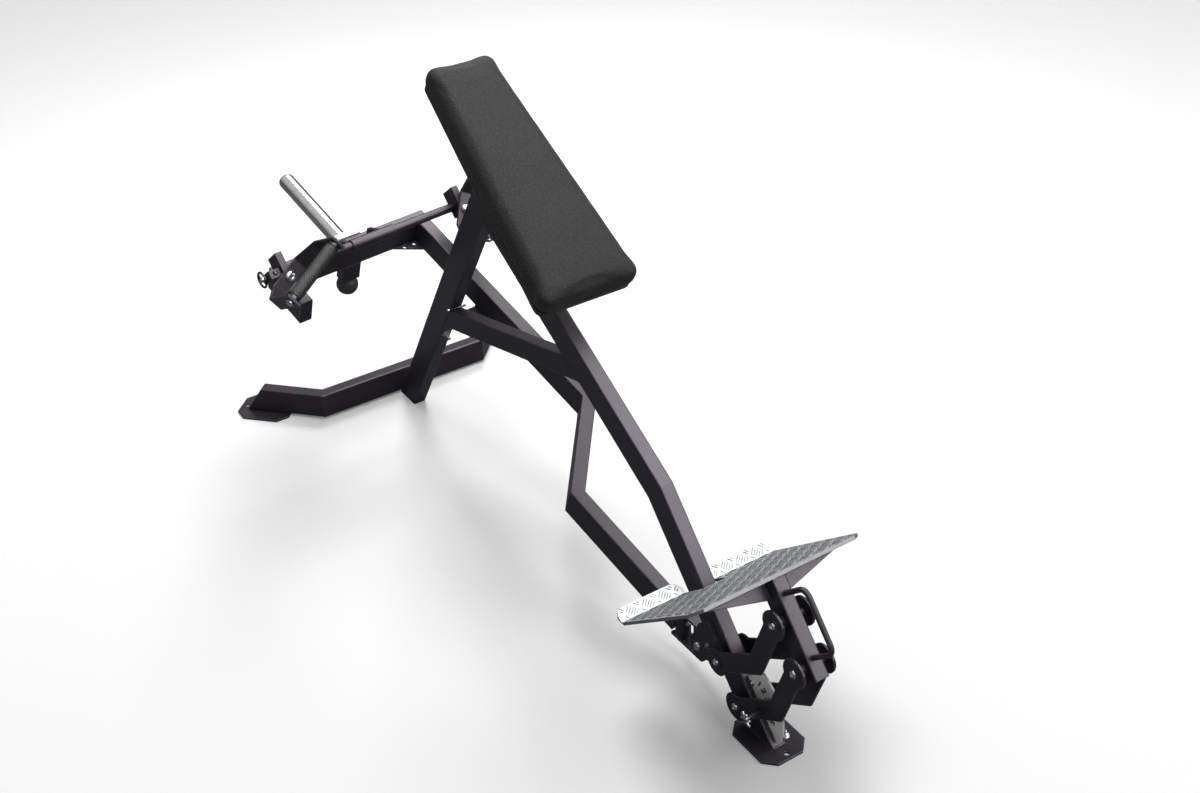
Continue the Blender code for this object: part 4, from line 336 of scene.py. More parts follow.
def enamel(name, colour, stain, rough):
    made, tree, shader = newMaterial(name)
    skin = place(tree, grain, Scale=420.0, Large_Scale=26.0)
    edgeMarks = place(tree, edgeWearAndHighlight, Radius=0.0012, Low=0.03, High=0.30)
    base = mixColour(tree, maths(tree, "MULTIPLY", skin["Tone"], 0.5), colour, stain)
    base = mixColour(tree, edgeMarks["Mask"], base, (0.22, 0.22, 0.22, 1))
    tree.links.new(base, shader.inputs["Base Color"])
    tree.links.new(remap(tree, skin["Tone"], 0.0, 1.0, rough, rough + 0.15), shader.inputs["Roughness"])
    bumpInto(tree, shader, skin["Height"], 0.12, 0.0004, edgeMarks["Normal"])
    return made


whitePlate = enamel("whitePlate", (0.64, 0.64, 0.63, 1), (0.46, 0.46, 0.45, 1), 0.36)
ink = enamel("printedInk", (0.014, 0.014, 0.015, 1), (0.03, 0.03, 0.03, 1), 0.42)

finishOf = {"powder": powder, "vinyl": vinyl, "board": boardCover, "chrome": chrome, "zinc": zinc,
            "tread": tread, "rubber": rubber, "label": whitePlate}
slotOf = {entry["node"]: entry["material_slot"] for entry in frame["record"]["subparts"]}
ownFinish = {"grip_rubber_left": gripRubber, "grip_rubber_right": gripRubber, "weight_peg": pegSteel,
             "ring_pin_left": darkSteel, "ring_pin_right": darkSteel, "peg_plate": zinc}
for side in ("left", "right"):
    for end in ("outer", "inner"):
        ownFinish["grip_collar_%s_%s" % (side, end)] = darkSteel
for name, node in nodes.items():
    node.data.materials.clear()
    node.data.materials.append(ownFinish.get(name, finishOf[slotOf[name]]))
print("materials placed")


# helpers that make pieces

def finishPiece(name, builder, material, body, smooth=True):
    bmesh.ops.recalc_face_normals(builder, faces=builder.faces)
    mesh = bpy.data.meshes.new(name)
    builder.to_mesh(mesh)
    builder.free()
    piece = bpy.data.objects.new(name, mesh)
    scene.collection.objects.link(piece)
    mesh.materials.append(material)
    if smooth:
        mesh.polygons.foreach_set("use_smooth", [True] * len(mesh.polygons))
    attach(piece, body)
    return piece


def axesAt(origin, xAxis, zAxis):
    z = Vector(zAxis).normalized()
    x = Vector(xAxis)
    x = (x - z * x.dot(z)).normalized()
    y = z.cross(x)
    return Matrix(((x.x, y.x, z.x, origin[0]), (x.y, y.y, z.y, origin[1]), (x.z, y.z, z.z, origin[2]),
                   (0, 0, 0, 1)))


def addTurned(builder, matrix, profile, sides, turn=0.0):
    # profile is (radius, height) from bottom to top, closed by a flat face at each end
    rings = []
    for radius, height in profile:
        rings.append([builder.verts.new(matrix @ Vector((
            radius * math.cos(turn + 2 * math.pi * k / sides),
            radius * math.sin(turn + 2 * math.pi * k / sides), height))) for k in range(sides)])
    for low, high in zip(rings, rings[1:]):
        for k in range(sides):
            builder.faces.new((low[k], low[(k + 1) % sides], high[(k + 1) % sides], high[k]))
    builder.faces.new(rings[0])
    builder.faces.new(rings[-1])


def addRing(builder, matrix, inner, outer, low, high, sides):
    loops = []
    for radius, height in ((inner, low), (outer, low), (outer, high), (inner, high)):
        loops.append([builder.verts.new(matrix @ Vector((
            radius * math.cos(2 * math.pi * k / sides), radius * math.sin(2 * math.pi * k / sides), height)))
            for k in range(sides)])
    for index in range(4):
        a, b = loops[index], loops[(index + 1) % 4]
        for k in range(sides):
            builder.faces.new((a[k], a[(k + 1) % sides], b[(k + 1) % sides], b[k]))


def softEdges(piece, width, segments=2, angle=35):
    bevel = piece.modifiers.new("softEdges", "BEVEL")
    bevel.width = width
    bevel.segments = segments
    bevel.limit_method = "ANGLE"
    bevel.angle_limit = math.radians(angle)
    bevel.harden_normals = False
    return piece


# weld beads: a rippled bead along the line where two CAD pieces meet

weldLook = {"radius": 0.0030, "step": 0.0016, "ripple": 0.16, "sides": 8, "reach": 0.0016}


def treeOf(node):
    data = node.data
    return BVHTree.FromPolygons([v.co for v in data.vertices], [tuple(p.vertices) for p in data.polygons])


surfaceTrees = {}


def surfaceTree(name):
    if name not in surfaceTrees:
        surfaceTrees[name] = treeOf(nodes[name])
    return surfaceTrees[name]


def meetingLine(name, onto, reach):
    # outer points of one piece that lie on another, in order round their middle
    found = []
    for vertex in nodes[name].data.vertices:
        nearest = surfaceTree(onto).find_nearest(vertex.co)
        if nearest[0] is not None and nearest[3] < reach:
            found.append((nearest[0], nearest[1]))
    if len(found) < 3:
        return []
    middle = sum((p for p, n in found), Vector()) / len(found)
    normal = sum((n for p, n in found), Vector()).normalized()
    plane = axesAt(middle, normal.orthogonal(), normal).inverted()
    flat = [(plane @ p, p, n) for p, n in found]
    flat.sort(key=lambda entry: math.atan2(entry[0].y, entry[0].x))
    return [flat[i][1:] for i in convexOrder([(e[0].x, e[0].y) for e in flat])]


def convexOrder(points):
    order = sorted(range(len(points)), key=lambda i: points[i])
    chains = []
    for run in (order, order[::-1]):
        chain = []
        for i in run:
            while len(chain) > 1:
                (ax, ay), (bx, by), (cx, cy) = points[chain[-2]], points[chain[-1]], points[i]
                if (bx - ax) * (cy - ay) - (by - ay) * (cx - ax) > 1e-12:
                    break
                chain.pop()
            chain.append(i)
        chains.append(chain[:-1])
    return chains[0] + chains[1]


def addBead(builder, line, radius, closed=True):
    points = [p for p, n in line]
    normals = [n for p, n in line]
    count = len(points)
    spans = count if closed else count - 1
    samples = []
    for i in range(spans):
        a, b = points[i], points[(i + 1) % count]
        na, nb = normals[i], normals[(i + 1) % count]
        steps = max(1, round((b - a).length / weldLook["step"]))
        for k in range(steps):
            samples.append((a.lerp(b, k / steps), na.lerp(nb, k / steps).normalized()))
    if not closed:
        samples.append((points[-1], normals[-1]))
    total = len(samples)
    if total < 4:
        return
    sides = weldLook["sides"]
    rings = []
    for i, (centre, up) in enumerate(samples):
        ahead = samples[(i + 1) % total][0] if closed or i < total - 1 else centre
        behind = samples[(i - 1) % total][0] if closed or i > 0 else centre
        run = (ahead - behind).normalized()
        side = run.cross(up).normalized()
        swell = radius * (1.0 + weldLook["ripple"] * math.sin(i * math.pi * 0.62 + math.sin(i * 0.7)))
        rings.append([builder.verts.new(
            centre + (side * math.cos(2 * math.pi * k / sides) + up * 0.8 * math.sin(2 * math.pi * k / sides))
            * swell) for k in range(sides)])
    pairs = list(zip(rings, rings[1:])) + ([(rings[-1], rings[0])] if closed else [])
    for low, high in pairs:
        for k in range(sides):
            builder.faces.new((low[k], low[(k + 1) % sides], high[(k + 1) % sides], high[k]))
    if not closed:
        builder.faces.new(rings[0])
        builder.faces.new(rings[-1])


def weldPieces(name, pairs, body, radius=None):
    builder = bmesh.new()
    made = 0
    for first, onto in pairs:
        line = meetingLine(first, onto, weldLook["reach"])
        if len(line) > 2:
            addBead(builder, line, radius or weldLook["radius"])
            made += 1
    if not made:
        builder.free()
        print("no weld found for", name)
        return None
    return finishPiece(name, builder, weldCoat, body)


weldPieces("weldsOfFrame", [
    ("main_beam", "foot_plate_rear"), ("brace", "front_leg"), ("brace", "main_beam"),
    ("pad_standoff", "main_beam"), ("front_leg", "leg_top_plate"), ("main_beam", "front_leg")], "frame")
weldPieces("weldsOfLever", [
    ("bumper_stub", "head_crossbar"), ("peg_plate", "head_crossbar"), ("left_arm", "head_crossbar"),
    ("weight_peg", "peg_plate")], "lever", 0.0024)
print("welds laid")


# fasteners: domed heads with a socket, hexagons, washers and bosses

fasteners = [
    {"node": "beam_bolt_upper", "body": "frame", "head": 0.0108, "height": 0.0060, "shank": 0.0078},
    {"node": "beam_bolt_lower", "body": "frame", "head": 0.0108, "height": 0.0060, "shank": 0.0078},
    {"node": "post_bolt_upper", "body": "foot_carrier", "head": 0.0108, "height": 0.0060, "shank": 0.0078},
    {"node": "post_bolt_lower", "body": "foot_carrier", "head": 0.0108, "height": 0.0060, "shank": 0.0078},
    {"node": "lift_bolt", "body": "frame", "head": 0.0125, "height": 0.0070, "shank": 0.0090},
]


def hexRadius(across, angle):
    return across / math.cos((angle + math.pi / 6) % (math.pi / 3) - math.pi / 6)


def addSocketHead(builder, matrix, radius, height, recess, depth, sides=24):
    # a domed head on its seat, with a hexagonal socket sunk into its top
    rings = [[(radius, 0.0)] * sides, [(radius, height * 0.22)] * sides, [(radius * 0.95, height * 0.50)] * sides,
             [(radius * 0.82, height * 0.78)] * sides, [(radius * 0.64, height * 0.95)] * sides]
    rings.append([(hexRadius(recess, 2 * math.pi * k / sides) * 1.10, height) for k in range(sides)])
    rings.append([(hexRadius(recess, 2 * math.pi * k / sides), height - 0.0004) for k in range(sides)])
    rings.append([(hexRadius(recess, 2 * math.pi * k / sides), height - depth) for k in range(sides)])
    loops = [[builder.verts.new(matrix @ Vector((
        radial * math.cos(2 * math.pi * k / sides), radial * math.sin(2 * math.pi * k / sides), level)))
        for k, (radial, level) in enumerate(ring)] for ring in rings]
    for low, high in zip(loops, loops[1:]):
        for k in range(sides):
            builder.faces.new((low[k], low[(k + 1) % sides], high[(k + 1) % sides], high[k]))
    builder.faces.new(loops[0])
    builder.faces.new(loops[-1])


def spanAlong(nodeName, axis):
    # middle of a node across an axis, and its ends along it
    axis = Vector(axis).normalized()
    points = [v.co for v in nodes[nodeName].data.vertices]
    low = min(p.dot(axis) for p in points)
    high = max(p.dot(axis) for p in points)
    middle = sum(points, Vector()) / len(points)
    return middle - axis * middle.dot(axis), axis, low, high


def throughBolt(look):
    foot, axis, low, high = spanAlong(look["node"], (0, 1, 0))
    builder = bmesh.new()
    height = look["height"]
    for level, way in ((low + height, -1), (high - height, 1)):
        seat = axesAt(foot + axis * level, (1, 0, 0), axis * way)
        addSocketHead(builder, seat, look["head"], height, look["head"] * 0.46, height * 0.62)
    shaft = axesAt(foot + axis * (low + height), (1, 0, 0), axis)
    addTurned(builder, shaft, [(look["shank"], 0.0), (look["shank"], high - low - 2 * height)], 20)
    piece = finishPiece(look["node"] + "Dome", builder, chrome, look["body"], False)
    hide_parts(look["node"])
    return smoothBy(piece, 38)


def smoothBy(piece, angle):
    mesh = piece.data
    mesh.polygons.foreach_set("use_smooth", [True] * len(mesh.polygons))
    builder = bmesh.new()
    builder.from_mesh(mesh)
    for line in builder.edges:
        if len(line.link_faces) == 2 and line.calc_face_angle(0.0) > math.radians(angle):
            line.smooth = False
    builder.to_mesh(mesh)
    builder.free()
    return piece


for look in fasteners:
    throughBolt(look)


def bandBolt(side):
    # the grip's swivel bolt: a large domed head outside the band, its shank inside
    foot, axis, low, high = spanAlong("band_bolt_" + side, (0.87938, 0.10345, 0.46475))
    heads = [v.co for v in nodes["band_bolt_" + side].data.vertices if v.co.dot(axis) > high - 0.0075]
    middle = sum(heads, Vector()) / len(heads)
    foot = middle - axis * middle.dot(axis)
    builder = bmesh.new()
    addSocketHead(builder, axesAt(foot + axis * (high - 0.008), (0, 1, 0), axis), 0.0155, 0.008, 0.0062, 0.0050)
    addTurned(builder, axesAt(foot + axis * low, (0, 1, 0), axis), [(0.0078, 0.0), (0.0078, high - low - 0.008)], 20)
    piece = finishPiece("bandBoltDome_" + side, builder, chrome, "carriage", False)
    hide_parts("band_bolt_" + side)
    return smoothBy(piece, 38)


bandBolt("left")
bandBolt("right")

linkBosses = {"inner": 0.0120, "outer": 0.0205, "rise": 0.0020, "face": 0.0465,
              "links_upper": ((-0.19075, 0.1544), (0.0046, 0.4175)),
              "links_lower": ((-0.11197, 0.06993), (0.08337, 0.33303))}


def makeLinkBosses(body):
    builder = bmesh.new()
    look = linkBosses
    for x, z in look[body]:
        for way in (-1, 1):
            seat = axesAt((x, way * look["face"], z), (1, 0, 0), (0, way, 0))
            addRing(builder, seat, look["inner"], look["outer"], -0.0003, look["rise"], 32)
    return softEdges(smoothBy(finishPiece("bossRings_" + body, builder, powder, body, False), 40), 0.0008)


makeLinkBosses("links_upper")
makeLinkBosses("links_lower")


def hexBolt(name, spot, normal, body, across, height, stud, material):
    # a washer, a hexagon and a little of the thread standing out of it
    builder = bmesh.new()
    seat = axesAt(spot, (0.3, 0.2, 0.9), normal)
    addTurned(builder, seat, [(across * 1.45, -0.0004), (across * 1.45, 0.0009), (across * 1.38, 0.0013)], 24)
    addTurned(builder, seat, [(across, 0.0012), (across, 0.0012 + height * 0.82), (across * 0.86, 0.0012 + height)],
              6, 0.3)
    if stud:
        profile = [(across * 0.52, height)]
        turns = int(stud / 0.0012)
        for k in range(turns):
            profile += [(across * 0.58, height + 0.0006 + k * 0.0012), (across * 0.50, height + 0.0012 + k * 0.0012)]
        addTurned(builder, seat, profile, 14)
    piece = finishPiece(name, builder, material, body, False)
    return softEdges(piece, 0.0004, 2, 50)


# name, spot, way it faces, body, half across flats, height, length of thread, material
hexBolts = [
    ("rearFootBolt", (-0.0185, 0.0342, 0.006), (0, 0, 1), "frame", 0.0080, 0.0060, 0.010, chrome),
    ("beamSideNut", (-0.2502, -0.0275, 0.1524), (0, -1, 0), "frame", 0.0062, 0.0048, 0.0, zinc),
    ("legRearBolt", (-1.5700, 0.0, 0.3730), (0.854, 0, -0.52), "frame", 0.0090, 0.0075, 0.016, chrome),
    ("leverEndNut", (-0.3651, -0.0008, 0.123), (0.991, -0.131, 0), "lever", 0.0060, 0.0046, 0.0, zinc),
    ("sectorBoltUpper", (-0.1059, -0.003, 0.1290), (0, -1, 0), "frame", 0.0058, 0.0042, 0.0, chrome),
    ("sectorBoltLower", (-0.0394, -0.003, 0.0379), (0, -1, 0), "frame", 0.0058, 0.0042, 0.0, chrome),
]
for entry in hexBolts:
    hexBolt(*entry)


def pinAcrossBrace():
    # a thin dark pin with a bright end, lying over the brace beside the leg
    builder = bmesh.new()
    start = Vector((-1.4940, -0.0230, 0.4975))
    way = Vector((0.10, 1.0, 0.02)).normalized()
    addTurned(builder, axesAt(start, (0, 0, 1), way), [
        (0.0026, 0.0), (0.0034, 0.0008), (0.0034, 0.052), (0.0026, 0.053)], 16)
    finishPiece("bracePin", builder, darkSteel, "frame")
    tip = bmesh.new()
    addTurned(tip, axesAt(start, (0, 0, 1), way), [
        (0.0030, -0.0060), (0.0046, -0.0048), (0.0050, -0.0026), (0.0050, 0.0006), (0.0042, 0.0016)], 18)
    finishPiece("bracePinTip", tip, chrome, "frame")


pinAcrossBrace()


def ringBall(side, way):
    foot, axis, low, high = spanAlong("ring_pin_" + side, (way * 0.1169, way * -0.9931, 0.0))
    builder = bmesh.new()
    seat = axesAt(foot + axis * (high - 0.0045), (0, 0, 1), axis)
    profile = [(0.0035, -0.0095)]
    for k in range(1, 10):
        angle = math.pi * k / 10
        profile.append((0.0078 * math.sin(angle), -0.0078 * math.cos(angle) - 0.0005))
    profile[5] = (0.0071, profile[5][1])
    addTurned(builder, seat, profile, 24)
    return finishPiece("ringBall_" + side, builder, chrome, "ring_" + side)


ringBall("left", 1)
ringBall("right", -1)


def clampScrew(side, spot):
    builder = bmesh.new()
    seat = axesAt(spot, (0, 1, 0), (0.756, 0.089, 0.648))
    addSocketHead(builder, seat, 0.0078, 0.0042, 0.0036, 0.0034)
    return smoothBy(finishPiece("clampScrew_" + side, builder, darkSteel, "carriage", False), 38)


clampScrew("left", (-1.6470, -0.4640, 0.6968))


def plungerStar():
    # three rounded arms set across the pull bar, and a hub behind them, clear of the barrel when pressed
    foot, axis, low, high = spanAlong("plunger_pin", (0, -1, 0))
    points = [v.co for v in nodes["plunger_pin"].data.vertices if v.co.dot(axis) < low + 0.004]
    middle = sum(points, Vector()) / len(points)
    foot = middle - axis * middle.dot(axis)
    builder = bmesh.new()
    hub = axesAt(foot + axis * (high - 0.006), (1, 0, 0), axis)
    addTurned(builder, hub, [(0.0058, -0.0012), (0.0076, -0.0004), (0.0080, 0.003), (0.0066, 0.0056), (0.003, 0.0068)],
              24)
    for turn in (20, 80, 140):
        angle = math.radians(turn)
        way = Vector((math.cos(angle), 0, math.sin(angle)))
        arm = axesAt(foot + axis * (high - 0.0028), axis, way)
        addTurned(builder, arm, [(0.0016, -0.0185), (0.0031, -0.0172), (0.0034, -0.014), (0.0026, -0.006),
                                 (0.0026, 0.006), (0.0034, 0.014), (0.0031, 0.0172), (0.0016, 0.0185)], 14)
    return finishPiece("plungerStar", builder, chrome, "plunger")


plungerStar()


def pegCap():
    # a shallow dished cap closing the open end of the peg
    axis = Vector((-0.90, -0.12, 0.42))
    points = [v.co for v in nodes["weight_peg"].data.vertices]
    middle = sum(points, Vector()) / len(points)
    spread = Matrix(((0, 0, 0), (0, 0, 0), (0, 0, 0)))
    for p in points:
        d = p - middle
        for i in range(3):
            for j in range(3):
                spread[i][j] += d[i] * d[j]
    for turn in range(24):
        axis = (spread @ axis).normalized()
    high = max(p.dot(axis) for p in points)
    foot = middle - axis * middle.dot(axis)
    builder = bmesh.new()
    seat = axesAt(foot + axis * (high - 0.006), (0, 0, 1), axis)
    addTurned(builder, seat, [(0.0203, -0.004), (0.0203, 0.0030), (0.0190, 0.0042), (0.0150, 0.0034),
                              (0.0080, 0.0028), (0.0020, 0.0026)], 32)
    return finishPiece("pegCap", builder, darkSteel, "lever")


pegCap()
print("fasteners made")


# raised bars of the tread plate, in groups of five that turn by a right angle

treadBars = {
    "fold": (-0.3217, 0.0, 0.2802), "slope": math.radians(40.5), "flapTurn": math.radians(60.5),
    "length": 0.3823, "frontHalf": 0.230, "rearHalf": 0.243, "notchHalf": 0.044, "notchDepth": 0.074,
    "flapDepth": 0.0366, "cell": 0.0335, "barLength": 0.0270, "barWidth": 0.0040, "barHeight": 0.0015,
    "barSpacing": 0.0064, "edge": 0.004}


def addBar(builder, lay, u, v, angle, half):
    # a low boat-shaped ridge whose foot is sunk a little into the plate
    wide = treadBars["barWidth"] / 2
    top = treadBars["barHeight"]
    cos, sin = math.cos(angle), math.sin(angle)
    foot, crest = [], []
    for share, width in ((-1.0, 0.12), (-0.72, 0.72), (0.0, 1.0), (0.72, 0.72), (1.0, 0.12)):
        foot.append((share * half, width * wide))
    outline = foot + [(a, -b) for a, b in reversed(foot)]
    lowRing = [builder.verts.new(lay(u + a * cos - b * sin, v + a * sin + b * cos, -0.0004)) for a, b in outline]
    for a, b in outline:
        a, b = a * 0.86, b * 0.42
        crest.append(builder.verts.new(lay(u + a * cos - b * sin, v + a * sin + b * cos, top)))
    count = len(outline)
    for i in range(count):
        j = (i + 1) % count
        builder.faces.new((lowRing[i], lowRing[j], crest[j], crest[i]))
    builder.faces.new(crest)
    builder.faces.new(lowRing)


def makeTreadBars():
    look = treadBars
    along = Vector((math.cos(look["slope"]), 0, math.sin(look["slope"])))
    up = Vector((-math.sin(look["slope"]), 0, math.cos(look["slope"])))
    flapAlong = -math.cos(look["flapTurn"]) * along + math.sin(look["flapTurn"]) * up
    flapUp = math.sin(look["flapTurn"]) * along + math.cos(look["flapTurn"]) * up
    fold = Vector(look["fold"])

    def onMain(u, v, h):
        return fold + along * u + Vector((0, v, 0)) + up * h

    def onFlap(u, v, h):
        return fold + flapAlong * u + Vector((0, v, 0)) + flapUp * h

    def clearOfMain(u, v):
        half = look["frontHalf"] + (look["rearHalf"] - look["frontHalf"]) * u / look["length"] - look["edge"]
        inNotch = u < look["notchDepth"] + look["edge"] and abs(v) < look["notchHalf"] + look["edge"]
        return look["edge"] < u < look["length"] - look["edge"] and abs(v) < half and not inNotch

    def clearOfFlap(u, v):
        return (look["edge"] * 0.6 < u < look["flapDepth"] - look["edge"] * 0.5
                and look["notchHalf"] + 0.010 < abs(v) < look["frontHalf"] - 0.010)

    builder = bmesh.new()
    cell = look["cell"]
    half = look["barLength"] / 2
    root = math.sqrt(0.5)
    made = 0
    for lay, clear, span in ((onMain, clearOfMain, 16), (onFlap, clearOfFlap, 12)):
        for i in range(-span, span):
            for j in range(-span, span):
                u0 = 0.016 + (i + j) * cell * root
                v0 = (j - i) * cell * root
                if not (-0.03 < u0 < look["length"] + 0.03 and abs(v0) < 0.28):
                    continue
                angle = math.radians(45 if (i + j) % 2 == 0 else -45)
                for bar in range(-2, 3):
                    offset = bar * look["barSpacing"]
                    u = u0 - math.sin(angle) * offset
                    v = v0 + math.cos(angle) * offset
                    kept = [t for t in range(-8, 9)
                            if clear(u + math.cos(angle) * half * t / 8, v + math.sin(angle) * half * t / 8)]
                    if len(kept) < 6:
                        continue
                    middle = (kept[0] + kept[-1]) / 16 * half
                    reach = (kept[-1] - kept[0]) / 16 * half
                    addBar(builder, lay, u + math.cos(angle) * middle, v + math.sin(angle) * middle, angle, reach)
                    made += 1
    print("tread bars:", made)
    return finishPiece("treadBars", builder, treadRidgePaintedShade, "foot_carrier", False)


makeTreadBars()


# the chest pad: a crowned cushion, swollen by cloth pressure

padLook = {
    "front": (-1.3725, 0.0, 1.3001), "along": (0.8453, 0.0, -0.5344), "out": (0.5344, 0.0, 0.8453),
    "length": 0.735, "headWidth": 0.206, "tailWidth": 0.302, "thick": 0.060, "corner": 0.036,
    "edgeRound": 0.016, "drawIn": 0.008, "voxel": 0.006, "cap": 0.0065, "shrink": 0.0035}


def roundedCorners(corners, radius, steps):
    points = []
    count = len(corners)
    for i in range(count):
        here = Vector(corners[i])
        before = (Vector(corners[i - 1]) - here).normalized()
        after = (Vector(corners[(i + 1) % count]) - here).normalized()
        halfAngle = before.angle(after) / 2
        reach = radius / math.tan(halfAngle)
        centre = here + (before + after).normalized() * (radius / math.sin(halfAngle))
        start = here + before * reach - centre
        stop = here + after * reach - centre
        turn = start.angle_signed(stop)
        for k in range(steps + 1):
            angle = -turn * k / steps
            cos, sin = math.cos(angle), math.sin(angle)
            points.append((centre.x + start.x * cos - start.y * sin, centre.y + start.x * sin + start.y * cos))
    return points


def padRing(inset):
    head = padLook["headWidth"] / 2 - inset
    tail = padLook["tailWidth"] / 2 - inset
    corners = [(inset, -head), (padLook["length"] - inset, -tail), (padLook["length"] - inset, tail), (inset, head)]
    return roundedCorners(corners, max(padLook["corner"] - inset, 0.010), 7)


def makePad():
    builder = bmesh.new()
    thick = padLook["thick"]
    levels = [(0.0, padLook["drawIn"] + 0.001), (0.003, padLook["drawIn"] - 0.004), (0.010, 0.003), (0.020, 0.0005),
              (0.032, 0.0), (thick - padLook["edgeRound"] - 0.006, 0.0005)]
    for k in range(1, 7):
        angle = math.pi / 2 * k / 6
        levels.append((thick - 0.006 - padLook["edgeRound"] * (1 - math.sin(angle)),
                       padLook["edgeRound"] * (1 - math.cos(angle))))
    for inset, height in ((0.030, thick - 0.0048), (0.050, thick - 0.0032), (0.075, thick - 0.0018),
                          (0.096, thick - 0.0012)):
        levels.append((height, inset))
    shrink = padLook["shrink"]
    rings = [[builder.verts.new((u, v, height)) for u, v in padRing(inset + shrink)] for height, inset in levels]
    for low, high in zip(rings, rings[1:]):
        count = len(low)
        for k in range(count):
            builder.faces.new((low[k], low[(k + 1) % count], high[(k + 1) % count], high[k]))
    builder.faces.new(rings[0])
    builder.faces.new(rings[-1])
    out = Vector(padLook["out"])
    seat = Vector(padLook["front"]) - out * thick
    matrix = axesAt(seat, padLook["along"], out)
    bmesh.ops.transform(builder, matrix=matrix, verts=builder.verts)
    piece = finishPiece("chestPadCover", builder, vinyl, "frame")
    remesh = piece.modifiers.new("remesh", "REMESH")
    remesh.mode = "VOXEL"
    remesh.voxel_size = padLook["voxel"]
    remesh.use_smooth_shade = True
    applyModifiers(piece)
    swell(piece, matrix)
    relax = piece.modifiers.new("relax", "CORRECTIVE_SMOOTH")
    relax.iterations = 6
    relax.use_only_smooth = True
    applyModifiers(piece)
    finer = piece.modifiers.new("finer", "SUBSURF")
    finer.levels = finer.render_levels = 1
    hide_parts("chest_pad")
    return piece


def applyModifiers(piece):
    graph = bpy.context.evaluated_depsgraph_get()
    graph.update()
    made = bpy.data.meshes.new_from_object(piece.evaluated_get(graph))
    piece.modifiers.clear()
    made.materials.clear()
    made.materials.append(vinyl)
    piece.data = made
    made.polygons.foreach_set("use_smooth", [True] * len(made.polygons))


clothLook = {"quality": 5, "mass": 0.3, "tension_stiffness": 25, "compression_stiffness": 25,
             "bending_stiffness": 2.0, "use_pressure": True, "uniform_pressure_force": 4.0,
             "vertex_group_mass": "held"}
clothFrames = 14
heldHeight = 0.004


def swell(piece, matrix):
    before = [v.co.copy() for v in piece.data.vertices]
    lifted = matrix.inverted()
    pins = piece.vertex_groups.new(name="held")
    for vertex in piece.data.vertices:
        height = (lifted @ vertex.co).z
        if height < heldHeight:
            pins.add([vertex.index], 1.0, "REPLACE")
    cloth = piece.modifiers.new("swell", "CLOTH")
    for key, value in clothLook.items():
        setattr(cloth.settings, key, value)
    cloth.settings.effector_weights.gravity = 0.0
    cloth.collision_settings.use_collision = False
    for number in range(1, clothFrames + 1):
        scene.frame_set(number)
    applyModifiers(piece)
    cap = padLook["cap"]
    for start, vertex in zip(before, piece.data.vertices):
        moved = vertex.co - start
        if moved.length > cap:
            vertex.co = start + moved * (cap / moved.length)
    scene.frame_set(1)


makePad()
print("pad made")


# numbers beside the holes of the index plate

plateLook = {"pivot": (-0.11197, 0.06993), "radius": 0.084, "angles": (114, 101, 85, 68, 44), "face": -0.0031,
             "size": 0.027, "extrude": 0.0004, "offset": 0.0011}


def makeNumbers():
    along = Vector((0.682, 0, -0.73135))
    up = Vector((0.73135, 0, 0.682))
    pivot = Vector((plateLook["pivot"][0], 0, plateLook["pivot"][1]))
    for index, degrees in enumerate(plateLook["angles"]):
        angle = math.radians(degrees)
        radial = along * math.cos(angle) + up * math.sin(angle)
        spot = pivot + radial * plateLook["radius"]
        spot.y = plateLook["face"]
        text = bpy.data.curves.new("indexNumber%d" % (index + 1), "FONT")
        text.body = str(index + 1)
        text.size = plateLook["size"]
        text.align_x = text.align_y = "CENTER"
        text.extrude = plateLook["extrude"]
        text.offset = plateLook["offset"]
        item = bpy.data.objects.new("indexNumber%d" % (index + 1), text)
        scene.collection.objects.link(item)
        text.materials.append(ink)
        item.matrix_world = axesAt(spot, Vector((0, -1, 0)).cross(-radial), (0, -1, 0))
        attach(item, "frame")


makeNumbers()


# knurled rubber of the two grips, as fine raised diamonds

knurlLook = {"outer": 0.0181, "raise": 0.0006, "around": 40, "pitch": 0.0028, "margin": 0.006}


def makeKnurl(side):
    sleeve = nodes["grip_rubber_" + side]
    points = [v.co for v in sleeve.data.vertices]
    middle = sum(points, Vector()) / len(points)
    axis = gripAxis[side]
    reach = max((p - middle).dot(axis) for p in points)
    matrix = axesAt(middle, axis.orthogonal(), axis)
    builder = bmesh.new()
    span = reach - knurlLook["margin"]
    rows = int(2 * span / knurlLook["pitch"])
    around = knurlLook["around"]
    rings = []
    for row in range(rows + 1):
        height = -span + 2 * span * row / rows
        ring = []
        for k in range(around):
            angle = 2 * math.pi * (k + 0.5 * (row % 2)) / around
            radius = knurlLook["outer"] + (knurlLook["raise"] if 0 < row < rows else -0.0004)
            radius -= knurlLook["raise"] * 1.1 if (row % 4 in (1, 2)) == (k % 2 == 0) else 0.0
            ring.append(builder.verts.new(matrix @ Vector((radius * math.cos(angle), radius * math.sin(angle),
                                                           height))))
        rings.append(ring)
    for row, (low, high) in enumerate(zip(rings, rings[1:])):
        shift = row % 2
        for k in range(around):
            a, b = low[k], low[(k + 1) % around]
            c, d = high[(k + 1) % around], high[k]
            if shift:
                c, d = high[(k + 2) % around], high[(k + 1) % around]
            builder.faces.new((a, b, d))
            builder.faces.new((b, c, d))
    builder.faces.new(rings[0])
    builder.faces.new(rings[-1])
    return finishPiece("knurl_" + side, builder, gripRubber, "grip_" + side, False)


gripAxis = {"left": Vector((-0.32777, 0.83952, 0.43332)), "right": Vector((-0.45814, 0.44955, 0.76682))}
makeKnurl("left")
makeKnurl("right")
print("details made")


# floor, lights and camera

floorLook = {"near": (0.86, 0.86, 0.862, 1), "far": (0.93, 0.93, 0.932, 1), "mirrored": (0.13, 0.13, 0.135, 1),
             "lift": (0.10, 0.30), "size": 60.0}


